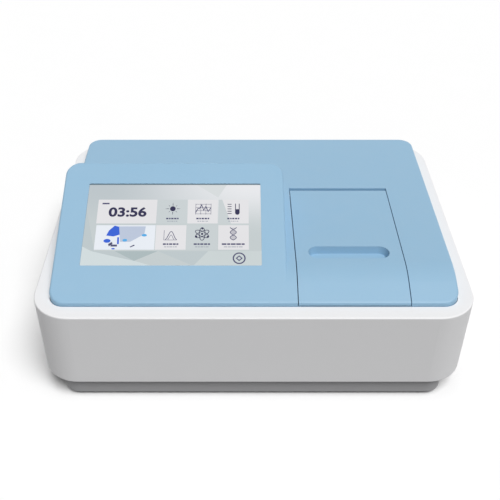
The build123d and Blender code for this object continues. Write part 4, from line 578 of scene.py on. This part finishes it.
def plates(name, outlines, layer, material, on_face=on_glass, body="chassis"):
    """Thin closed solids on the glass or another face, one for each outline of (x, y) points."""
    vertices, faces = [], []
    low, high = layer * LAYER, (layer + 1) * LAYER
    for outline in outlines:
        area = sum(a[0] * b[1] - b[0] * a[1] for a, b in zip(outline, outline[1:] + outline[:1]))
        points = outline if area > 0 else outline[::-1]
        start, count = len(vertices), len(points)
        vertices += [on_face(x, y, low) for x, y in points] + [on_face(x, y, high) for x, y in points]
        faces.append([start + i for i in reversed(range(count))])
        faces.append([start + count + i for i in range(count)])
        for i in range(count):
            j = (i + 1) % count
            faces.append([start + i, start + j, start + count + j, start + count + i])
    mesh = bpy.data.meshes.new(name)
    mesh.from_pydata(vertices, [], faces)
    as_piece(name, mesh, material, body)


def ribbon(points, width, closed=False):
    """Outlines of a line of even width: one four-cornered plate for each stretch."""
    spots = [Vector(p) for p in points]
    count = len(spots)
    sides = []
    for i, spot in enumerate(spots):
        before = spots[i - 1] if closed or i else spot
        after = spots[(i + 1) % count] if closed or i < count - 1 else spot
        way_in = (spot - before).normalized() if spot != before else (after - spot).normalized()
        way_out = (after - spot).normalized() if after != spot else way_in
        side = Vector((-way_in.y - way_out.y, way_in.x + way_out.x)).normalized()
        reach = width / 2 / max(side.dot(Vector((-way_in.y, way_in.x))), SHARPEST_MITRE)
        sides.append((tuple(spot + side * reach), tuple(spot - side * reach)))
    last = count if closed else count - 1
    return [
        [sides[i][0], sides[i][1], sides[(i + 1) % count][1], sides[(i + 1) % count][0]] for i in range(last)
    ]


def rectangle(left, low, right, high):
    """The outline of an upright rectangle."""
    return [(left, low), (right, low), (right, high), (left, high)]


def oval(x, y, half_width, half_height, turn=0.0, count=40):
    """The outline of an ellipse, turned by an angle."""
    outline = []
    for k in range(count):
        a = 2 * pi * k / count
        u, v = half_width * cos(a), half_height * sin(a)
        outline.append((x + u * cos(turn) - v * sin(turn), y + u * sin(turn) + v * cos(turn)))
    return outline


print("makers of flat pieces ready, layers of", LAYER, "mm")

# %% [markdown]
# ## The display's background
#
# The picture on the display is the instrument's own start page: a grey-green ground with large pale facets,
# like folded paper. The glass shines in the ground colour, which already grows paler to the upper right.
# The facets are plates in the first layer, each a little lighter or darker than the ground. Along the upper
# edge the window's lip keeps light from the glass, and a thin dark plate that shines faintly paints that
# shade: a painted shadow of the lip.

# %% Facets of the background
HALF_W, HALF_H = 98.1, 55.0
FLOOR_LINE, ROW_LINE = -54.9, -36.0
# Width of the painted shadow of the window's lip, in millimetres.
LIP_SHADOW_WIDTH = 1.1
tone = {
    "facet_dark": (0.40, 0.48, 0.495),
    "facet_mid": (0.50, 0.565, 0.585),
    "facet_soft": (0.585, 0.645, 0.65),
    "facet_pale": (0.63, 0.70, 0.715),
    "facet_high": (0.665, 0.70, 0.71),
}
facets = {
    "facet_dark": [[(-62.0, ROW_LINE), (-15.0, ROW_LINE), (-40.0, -48.5)]],
    "facet_mid": [
        [(-HALF_W, 20.0), (-84.0, -37.0), (-HALF_W, -30.0)],
        [(-88.0, ROW_LINE), (-62.0, ROW_LINE), (-40.0, -48.5), (-64.0, -42.5)],
        [(-15.0, ROW_LINE), (40.0, ROW_LINE), (24.0, FLOOR_LINE)],
    ],
    "facet_soft": [[(40.0, ROW_LINE), (HALF_W, ROW_LINE), (HALF_W, FLOOR_LINE), (24.0, FLOOR_LINE)]],
    "facet_high": [[(24.0, HALF_H), (50.0, 36.0), (60.0, HALF_H)]],
    "facet_pale": [[
        (-HALF_W, -30.0), (-88.0, ROW_LINE), (-64.0, -42.5), (-40.0, -48.5), (-20.0, FLOOR_LINE),
        (-HALF_W, FLOOR_LINE),
    ]],
}
for name, outlines in facets.items():
    plates("screen_" + name, outlines, 0, lit(name, tone[name]))
# A thin dark plate along the upper edge, lit faintly: a painted shadow of the window's lip, not a part of the
# panel.
plates("screen_edge_line", [rectangle(-HALF_W, HALF_H - LIP_SHADOW_WIDTH, HALF_W, HALF_H)], 1,
       lit("edge_line", (0.13, 0.19, 0.23)))
print(sum(len(o) for o in facets.values()), "facets")

# %% Tiles
WHITE = (0.765, 0.76, 0.78)
GREY_GREEN = (0.575, 0.625, 0.64)
COLUMNS = [(-18.5, 15.2), (15.8, 49.8), (50.6, 84.4)]
UPPER, LOWER = (0.4, 33.0), (-34.2, -2.0)
CLOCK = (-85.6, 0.4, -19.0, 33.0)
PICTURE = (-85.0, -34.2, -19.2, -2.0)
SLANT_LOW, SLANT_HIGH = 14.0, 4.0


def tile(column, row):
    """The outline of one tile of the grid."""
    return rectangle(COLUMNS[column][0], row[0], COLUMNS[column][1], row[1])


left, right = COLUMNS[2]
low, high = UPPER
slanted_right = [(left + SLANT_HIGH, high), (left + SLANT_LOW, low), (right, low), (right, high)]
slanted_left = [(left, low), (left + SLANT_LOW, low), (left + SLANT_HIGH, high), (left, high)]
white_tiles = [rectangle(*CLOCK), tile(1, UPPER), tile(0, LOWER), tile(2, LOWER), slanted_right]
green_tiles = [tile(0, UPPER), tile(1, LOWER), slanted_left]
plates("screen_tiles_white", white_tiles, 1, lit("tile_white", WHITE))
plates("screen_tiles_green", green_tiles, 1, lit("tile_green", GREY_GREEN))
print(len(white_tiles) + len(green_tiles), "tiles")

# %% [markdown]
# ## The clock
#
# The digits are Blender's own font, made into a mesh: a text object is a curve, so it can be made bold with
# an offset before it turns into faces. Drawing the digits from ribbons would work too, but a font has
# better curves. Its points are then moved onto the glass, into the box that the clock fills.

# %% Clock digits
ink = lit("ink_navy", (0.004, 0.002, 0.060))
thin_ink = lit("ink_soft", (0.06, 0.06, 0.15))
DIGITS_LEFT, DIGITS_LOW, DIGITS_RIGHT, DIGITS_HIGH = -73.0, 9.4, -30.3, 22.6
DIGITS_LAYER = 2.5
BOLDNESS = 0.034

clock_curve = bpy.data.curves.new("clock_digits", "FONT")
clock_curve.body = "03:56"
clock_curve.offset = BOLDNESS
clock_curve.extrude = 0.5
clock_curve.resolution_u = 6
clock_text = bpy.data.objects.new("clock_text", clock_curve)
bpy.context.scene.collection.objects.link(clock_text)
bpy.context.view_layer.update()
graph = bpy.context.evaluated_depsgraph_get()
digits = bpy.data.meshes.new_from_object(clock_text.evaluated_get(graph))
bpy.data.objects.remove(clock_text)
xs = [v.co.x for v in digits.vertices]
ys = [v.co.y for v in digits.vertices]
wide, tall = max(xs) - min(xs), max(ys) - min(ys)
for v in digits.vertices:
    x = DIGITS_LEFT + (v.co.x - min(xs)) / wide * (DIGITS_RIGHT - DIGITS_LEFT)
    y = DIGITS_LOW + (v.co.y - min(ys)) / tall * (DIGITS_HIGH - DIGITS_LOW)
    v.co = on_glass(x, y, LAYER * (DIGITS_LAYER + v.co.z))
digits.materials.clear()
as_piece("screen_clock", digits, ink, "chassis")
print("clock has", len(digits.polygons), "faces")

# %% [markdown]
# ## Icons
#
# Each icon stands for a kind of measurement: a lamp, a spectrum, samples, a peak, an atom and a helix. All
# are drawn from the same ribbons and plates, in navy ink, one function for each icon, about its own middle.

# %% Icon makers


def lamp_icon(x, y):
    """A disc with eight rays."""
    shapes = [oval(x, y, 3.2, 3.4)]
    for k in range(8):
        a = pi * k / 4
        inner, outer, half = (4.6, 9.0, 0.45) if k % 2 == 0 else (4.8, 7.2, 0.35)
        tip = (x + outer * cos(a), y + outer * sin(a))
        foot = (x + inner * cos(a), y + inner * sin(a))
        base = [(foot[0] - s * half * sin(a), foot[1] + s * half * cos(a)) for s in (1, -1)]
        shapes.append(base + [tip])
    return shapes


def spectrum_icon(x, y):
    """A grid with a stepped line across it."""
    shapes = []
    for row in (-6.6, -2.2, 2.2, 6.6):
        shapes += ribbon([(x - 8.6, y + row), (x + 8.6, y + row)], 0.45)
    for column in (-8.6, -2.9, 2.9, 8.6):
        shapes += ribbon([(x + column, y - 7.4), (x + column, y + 7.4)], 0.45)
    trace = [
        (-8.6, -5.0), (-6.0, 1.0), (-4.4, 0.4), (-2.0, 5.6), (0.4, -1.6), (2.8, 3.8), (5.4, -3.4), (8.6, 2.0),
    ]
    return shapes + ribbon([(x + u, y + v) for u, v in trace], 0.9)


def samples_icon(x, y):
    """A list of lines beside a half-filled tube."""
    shapes = []
    for row in range(5):
        v = y + 6.4 - row * 3.2
        shapes += ribbon([(x - 6.6, v), (x - 2.0, v)], 0.9)
    left, right, low, high = x + 2.4, x + 6.6, y - 7.6, y + 7.2
    curve = [(left + 2.1 - 2.1 * cos(pi * k / 12), low + 2.1 - 2.1 * sin(pi * k / 12)) for k in range(13)]
    shapes += ribbon([(left, high)] + curve + [(right, high)], 0.9)
    fill = [(left + 0.4, y - 0.4)] + [(u * 0.82 + (x + 4.5) * 0.18, v + 0.4) for u, v in curve]
    return shapes + [fill + [(right - 0.4, y - 0.4)]]


def peak_icon(x, y):
    """Two axes and a pair of peaks, one inside the other."""
    shapes = ribbon([(x - 7.0, y + 6.6), (x - 7.0, y - 6.2), (x + 7.4, y - 6.2)], 0.5)
    for wide, tall, width in ((6.4, 10.6, 0.8), (3.6, 6.0, 0.5)):
        curve = []
        for k in range(25):
            u = -1 + k / 12
            curve.append((x + 0.8 + wide * u, y - 5.6 + tall * (0.5 + 0.5 * cos(pi * u))))
        shapes += ribbon(curve, width)
    return shapes


def atom_icon(x, y):
    """Three rings about a core."""
    shapes = [oval(x, y, 1.3, 1.4, count=20)]
    for k in range(3):
        shapes += ribbon(oval(x, y, 8.4, 3.2, pi * k / 3 + pi / 6), 0.8, closed=True)
    for k in range(3):
        a = pi * (2 * k) / 3 + pi / 2
        shapes.append(oval(x + 7.0 * cos(a), y + 7.0 * sin(a), 1.0, 1.1, count=16))
    return shapes


def helix_icon(x, y):
    """Two strands that cross, with rungs where they are far enough apart."""
    radius, foot, tall, turns, shortest_rung = 3.4, y - 8.6, 17.2, 1.25, 1.2
    shapes = []
    for phase in (0.0, pi):
        strand = []
        for k in range(33):
            t = k / 32
            strand.append((x + radius * sin(2 * pi * turns * t + phase), foot + tall * t))
        shapes += ribbon(strand, 0.8)
    for k in range(1, 12):
        t = k / 12
        half, level = radius * abs(sin(2 * pi * turns * t)), foot + tall * t
        if half > shortest_rung:
            shapes += ribbon([(x - half, level), (x + half, level)], 0.45)
    return shapes


print("icon makers ready")

# %% Draw the icons
RING_X, RING_Y = 73.7, -45.2
icons = {
    "lamp": (lamp_icon(-1.0, 20.4), ink),
    "spectrum": (spectrum_icon(33.4, 20.0), thin_ink),
    "samples": (samples_icon(67.2, 20.2), ink),
    "peak": (peak_icon(-2.2, -15.4), thin_ink),
    "atom": (atom_icon(32.8, -13.6), ink),
    "helix": (helix_icon(67.2, -13.2), thin_ink),
}
diamond = [(RING_X - 3.0, RING_Y), (RING_X, RING_Y + 2.9), (RING_X + 3.0, RING_Y), (RING_X, RING_Y - 2.9)]
ring = ribbon(oval(RING_X, RING_Y, 6.3, 6.6, count=56), 1.5, closed=True)
icons["settings"] = (ring + ribbon(diamond, 1.2, closed=True), thin_ink)
for name, (shapes, material) in icons.items():
    plates("screen_icon_" + name, shapes, 2, material)
print(len(icons), "icons")

# %% [markdown]
# ## Bars under the icons
#
# Under each icon lie two rows of short bars of uneven length. They give each tile its weight at the foot,
# and they say nothing. One function spreads the bars of a row over its width by a small list of weights.

# %% Label bars
BAR_GAP = 0.7
ROW_STEP = 3.6
BAR_HEIGHT, BAR_WEIGHTS = 2.0, (3, 2, 3, 3, 2)
FINE_HEIGHT, FINE_WEIGHTS, FINE_WIDTH = 1.0, (4, 3, 5, 2, 4), 0.82
CLOCK_BAR = (-81.0, 26.6, -73.0, 28.6)
LABELS = [
    (-1.0, 7.0, 14.0), (33.0, 7.0, 14.5), (67.2, 7.0, 13.5),
    (-1.4, -27.0, 17.0), (32.8, -27.0, 18.0), (67.2, -27.0, 25.0),
]


def short_bars(x, y, width, height, weights):
    """A row of short bars, centred on x."""
    unit = (width - BAR_GAP * (len(weights) - 1)) / sum(weights)
    row, left = [], x - width / 2
    for weight in weights:
        row.append(rectangle(left, y - height / 2, left + weight * unit, y + height / 2))
        left += weight * unit + BAR_GAP
    return row


bars, fine_bars = [], []
for x, y, width in LABELS:
    bars += short_bars(x, y, width, BAR_HEIGHT, BAR_WEIGHTS)
    fine_bars += short_bars(x, y - ROW_STEP, width * FINE_WIDTH, FINE_HEIGHT, FINE_WEIGHTS)
bars.append(rectangle(*CLOCK_BAR))
plates("screen_labels", bars, 2, thin_ink)
plates("screen_labels_fine", fine_bars, 2, lit("ink_pale", (0.33, 0.36, 0.42)))
print(len(bars) + len(fine_bars), "bars")

# %% [markdown]
# ## The picture tile
#
# The lower left tile is a picture in blue, white and grey: a plain bench scene in flat shapes, on a pale
# ground. It is drawn with the same plates, in two layers, and shines through the same shared group.

# %% Picture tile
picture_blue = lit("picture_blue", (0.012, 0.100, 0.66))
picture_sky = lit("picture_sky", (0.08, 0.40, 0.78))
picture_grey = lit("picture_grey", (0.49, 0.56, 0.70))
picture_pale = lit("picture_pale", (0.80, 0.84, 0.90))
panel = [(-60.0, -3.6), (-30.0, -3.6), (-31.0, -14.0), (-46.0, -24.0), (-57.0, -24.0)]
blue_shapes = [
    [(-64.6, -2.6), (-59.6, -4.0), (-58.2, -14.6), (-65.0, -17.0), (-73.0, -15.8), (-70.4, -9.0)],
    oval(-71.5, -22.8, 3.9, 2.5),
    oval(-64.0, -33.0, 2.0, 0.9, count=20),
    [(-60.6, -18.0), (-58.6, -18.0), (-58.2, -27.0), (-60.2, -27.0)],
]
dark_shapes = [
    rectangle(-67.0, -30.2, -60.0, -27.6),
    [(-70.0, -27.0), (-66.0, -24.0), (-65.0, -26.6), (-69.0, -30.0)],
    [(-46.0, -30.4), (-41.4, -27.6), (-40.6, -29.0), (-45.4, -31.4)],
]
plates("screen_picture", [rectangle(*PICTURE)], 1, picture_pale)
plates("screen_picture_panel", [panel], 2, picture_grey)
plates("screen_picture_blue", blue_shapes, 3, picture_blue)
plates("screen_picture_sky", [oval(-52.0, -22.0, 2.6, 1.8), oval(-31.0, -15.4, 2.9, 1.7)], 3, picture_sky)
plates("screen_picture_dark", dark_shapes, 3, thin_ink)
print("picture tile ready")

# %% [markdown]
# ## Screws on the back
#
# The back panel, the fan guard and the power inlet are held by pan-head screws, which the CAD model leaves
# to this lesson. A head could be a cylinder with a cross cut by a Boolean, but its mesh is neater when it
# is built as rings: circles that close in over the dome, then a ring shaped like a cross, and the same
# ring once more, smaller and deeper. A cross whose arms are 0.268 as wide as they are long has its twelve
# corners at even angles, so that its ring joins the round ones point by point.

# %% Screw maker
RING_COUNT = 36
FIRST_CORNER = 15
CROSS_RATIO = 0.268
SCREW_TURN = 0.7
HEAD_FOOT = -0.3
HEAD_PROFILE = [(1.0, 0.35), (0.87, 0.80), (0.60, 1.0)]
RECESS_PROFILE = [(0.52, 0.98), (0.34, 0.25)]


def circle_ring(radius, height):
    """Points of a circle, the first at 15 degrees, where a cross has its first corner."""
    turns = [radians(FIRST_CORNER + 360 * k / RING_COUNT) for k in range(RING_COUNT)]
    return [(radius * cos(a), radius * sin(a), height) for a in turns]


def cross_ring(reach, height):
    """Points of a cross, three to each side."""
    a, b = reach, reach * CROSS_RATIO
    corners = [
        (a, b), (b, b), (b, a), (-b, a), (-b, b), (-a, b),
        (-a, -b), (-b, -b), (-b, -a), (b, -a), (b, -b), (a, -b),
    ]
    points = []
    for first, second in zip(corners, corners[1:] + corners[:1]):
        for step in range(3):
            t = step / 3
            u = first[0] + (second[0] - first[0]) * t
            v = first[1] + (second[1] - first[1]) * t
            points.append((u, v, height))
    return points


def turned_pieces(name, rings, places):
    """Closed pieces from a stack of rings, one at each place, looking out of the back."""
    vertices, faces = [], []
    for number, (x, y, z) in enumerate(places):
        start, turn = len(vertices), SCREW_TURN * number
        for ring in rings:
            for u, v, w in ring:
                over = u * sin(turn) + v * cos(turn)
                rise = u * cos(turn) - v * sin(turn)
                vertices.append(((x + over) * mm, (y + w) * mm, (z + rise) * mm))
        faces.append([start + j for j in reversed(range(RING_COUNT))])
        for level in range(len(rings) - 1):
            low, high = start + level * RING_COUNT, start + (level + 1) * RING_COUNT
            for j in range(RING_COUNT):
                k = (j + 1) % RING_COUNT
                faces.append([low + j, low + k, high + k, high + j])
        faces.append([start + (len(rings) - 1) * RING_COUNT + j for j in range(RING_COUNT)])
    mesh = bpy.data.meshes.new(name)
    mesh.from_pydata(vertices, [], faces)
    as_piece(name, mesh, finish["screw_steel"], "chassis")


def pan_head(radius, height):
    """The rings of a pan head with a cross recess; the foot goes a little into what it sits on."""
    dome = [circle_ring(out * radius, up * height) for out, up in HEAD_PROFILE]
    recess = [cross_ring(out * radius, up * height) for out, up in RECESS_PROFILE]
    return [circle_ring(radius, HEAD_FOOT)] + dome + recess


print("screw maker ready")

# %% Place the screws
PANEL_FACE = 171.0
INLET_MIDDLE_Z = 76.0
FAN_REACH, INLET_REACH = 25.0, 20.0
PANEL_ROWS = (46.0, 104.0)
PANEL_COLUMNS = (-180.0, -72.0, 30.0, 92.0, 181.0)
COLLAR_HEIGHT = 2.3
COLLAR_PROFILE = [(3.9, -0.2), (3.9, 1.7), (3.5, COLLAR_HEIGHT), (1.6, COLLAR_HEIGHT)]
HEAD = pan_head(radius=2.8, height=1.8)


def middle(box):
    """The middle of a box, in millimetres."""
    return (box[0] + box[1]) / 2 / mm


guard = middle(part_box("fan_guard"))
fan_corners = [(s * FAN_REACH, t * FAN_REACH) for s in (-1, 1) for t in (-1, 1)]
fan_places = [(guard.x + over, PANEL_FACE, guard.z + up) for over, up in fan_corners]
collar = [circle_ring(radius, height) for radius, height in COLLAR_PROFILE]
turned_pieces("guard_collars", collar, fan_places)
turned_pieces("guard_screws", HEAD, [(x, y + COLLAR_HEIGHT, z) for x, y, z in fan_places])
turned_pieces("panel_screws", HEAD, [(x, PANEL_FACE, z) for x in PANEL_COLUMNS for z in PANEL_ROWS])
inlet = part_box("power_inlet")
inlet_x, inlet_face = middle(inlet).x, inlet[1].y / mm
inlet_places = [(inlet_x + s * INLET_REACH, inlet_face, INLET_MIDDLE_Z) for s in (-1, 1)]
turned_pieces("inlet_screws", HEAD, inlet_places)
print("screws at the fan", [tuple(round(v, 1) for v in p) for p in fan_places])

# %% [markdown]
# ## The marks on the power switch
#
# Every mains rocker has the same two marks, a bar for on and a ring for off, printed in white. The rocker's
# face is a shallow V that is tilted to its off side, so each mark needs the plane of its own half. The same
# maker as for the display draws them, with another function for the plane, and they ride on the rocker.

# %% Rocker marks
ROCKER_TILT = radians(10.0)
ROCKER_AXIS = (middle(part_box("power_rocker")).x, 169.5, 76.0)
ROCKER_VALLEY, ROCKER_TIP, ROCKER_HALF = 3.0, 4.6, 8.0
face_tilt = atan2(ROCKER_TIP - ROCKER_VALLEY, ROCKER_HALF)


def on_rocker(side):
    """Gives the plane of the upper (1) or lower (-1) half of the rocker, about the middle of its face."""
    along, up = side * ROCKER_HALF / 2, (ROCKER_VALLEY + ROCKER_TIP) / 2
    tilt = ROCKER_TILT + side * face_tilt
    middle_rise = along * cos(ROCKER_TILT) - up * sin(ROCKER_TILT)
    middle_out = along * sin(ROCKER_TILT) + up * cos(ROCKER_TILT)

    def spot(x, y, above):
        rise = middle_rise + y * cos(tilt) - above * sin(tilt)
        out = middle_out + y * sin(tilt) + above * cos(tilt)
        return Vector((ROCKER_AXIS[0] - x, ROCKER_AXIS[1] + out, ROCKER_AXIS[2] + rise)) * mm

    return spot


mark_white = moulded("mark_white", (0.80, 0.80, 0.79), gloss=(0.40, 0.50), pit=0.5, depth=0.01)
ring = ribbon(oval(0.0, 0.0, 1.5, 1.7, count=32), 0.6, closed=True)
bar = rectangle(-0.35, -1.9, 0.35, 1.9)
plates("rocker_mark_on", [bar], 0, mark_white, on_rocker(1), "rocker")
plates("rocker_mark_off", ring, 0, mark_white, on_rocker(-1), "rocker")
print("rocker axis at", [round(v, 1) for v in ROCKER_AXIS], "mm")

# %% [markdown]
# ## Light, floor and camera
#
# The photograph is a catalogue picture: one broad light high in front and to the right, almost no shadow,
# and a white ground. A sun lamp with a wide angle gives that even light, and a weak white world fills the
# rest. Together they let the top show about its own colour, and the front face, which the light only grazes,
# falls to about half. The world and the floor are white to the camera and in mirror images, but much darker
# as a source of light for other things, so the underside stays dark.

# %% Lamp and surroundings
KEY_ELEVATION = radians(64.0)
KEY_FROM_RIGHT = radians(28.0)
KEY_WIDTH = radians(34.0)
KEY_STRENGTH = 2.70
AMBIENT = 0.23


def seen_directly(tree):
    """1 for rays from the camera and for mirror images, 0 for light that falls on other things."""
    rays = add(tree, "ShaderNodeLightPath").outputs
    mirrored = maths(tree, "MAXIMUM", rays["Is Glossy Ray"], rays["Is Transmission Ray"])
    return maths(tree, "MAXIMUM", rays["Is Camera Ray"], mirrored)


key = bpy.data.lights.new("key_light", "SUN")
key.energy = KEY_STRENGTH
key.angle = KEY_WIDTH
key_lamp = bpy.data.objects.new("key_light", key)
key_lamp.rotation_euler = (pi / 2 - KEY_ELEVATION, 0.0, KEY_FROM_RIGHT)
bpy.context.scene.collection.objects.link(key_lamp)

world = bpy.data.worlds.new("studio")
world.use_nodes = True
sky = world.node_tree
sky.nodes.clear()
strength = spread(sky, seen_directly(sky), AMBIENT, 1.0)
backdrop = add(sky, "ShaderNodeBackground", {"Color": (1.0, 1.0, 1.0, 1.0), "Strength": strength})
sky_output = sky.nodes.new("ShaderNodeOutputWorld")
sky.links.new(backdrop.outputs[0], sky_output.inputs["Surface"])
bpy.context.scene.world = world
print("key light at", round(degrees(KEY_ELEVATION)), "degrees, strength", KEY_STRENGTH)

# %% Floor
FLOOR_HALF = 6.0
SEEN_PAPER = (1.0, 1.0, 1.0), (0.99, 0.99, 0.99)
SHADED_PAPER = (0.22, 0.22, 0.22), (0.20, 0.20, 0.20)

corners = [(s * FLOOR_HALF, t * FLOOR_HALF, 0.0) for s, t in ((-1, -1), (1, -1), (1, 1), (-1, 1))]
floor_mesh = bpy.data.meshes.new("floor")
floor_mesh.from_pydata(corners, [], [[0, 1, 2, 3]])
floor = bpy.data.objects.new("floor", floor_mesh)
bpy.context.scene.collection.objects.link(floor)
floor_material = bpy.data.materials.new("floor_paper")
floor_material.use_nodes = True
paper = floor_material.node_tree
paper.nodes.clear()
fibres = use_group(paper, grain, Size=2 * mm)["Tone"]
white_paper = mix_colour(paper, fibres, *SEEN_PAPER)
grey_paper = mix_colour(paper, fibres, *SHADED_PAPER)
paper_colour = mix_colour(paper, seen_directly(paper), grey_paper, white_paper)
sheet = add(paper, "ShaderNodeBsdfDiffuse", {"Color": paper_colour})
paper_output = paper.nodes.new("ShaderNodeOutputMaterial")
paper.links.new(sheet.outputs[0], paper_output.inputs["Surface"])
floor_mesh.materials.append(floor_material)
floor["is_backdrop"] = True
print("floor", 2 * FLOOR_HALF, "metres square")

# %% Camera
CAMERA_PLACE = (-0.01672, -0.78417, 0.67408)
CAMERA_TILT = radians(52.62)
LENS, SENSOR = 57.02, 36.0
SHIFT = 0.024

camera = bpy.data.cameras.new("camera")
camera.sensor_width = SENSOR
camera.lens = LENS
camera.shift_x = SHIFT
camera_object = bpy.data.objects.new("camera", camera)
camera_object.location = CAMERA_PLACE
camera_object.rotation_euler = (CAMERA_TILT, 0.0, 0.0)
bpy.context.scene.collection.objects.link(camera_object)
bpy.context.scene.camera = camera_object
bpy.context.scene.view_settings.view_transform = "Standard"
distance, fall = Vector(CAMERA_PLACE).length, 90 - degrees(CAMERA_TILT)
print("camera", round(distance, 2), "metres from the origin, looking", round(fall), "degrees down")

# %% [markdown]
# ## Compare the size
#
# The dressed model must stay the size of the CAD model. The box of all shown pieces is measured again, and
# its high corner is compared with the CAD box's.

# %% Compare the sizes
visual_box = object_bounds()
growth = [round((b - a) / mm, 2) for a, b in zip(cad_box[1], visual_box[1])]
print("grown by", growth, "mm at the high corner")
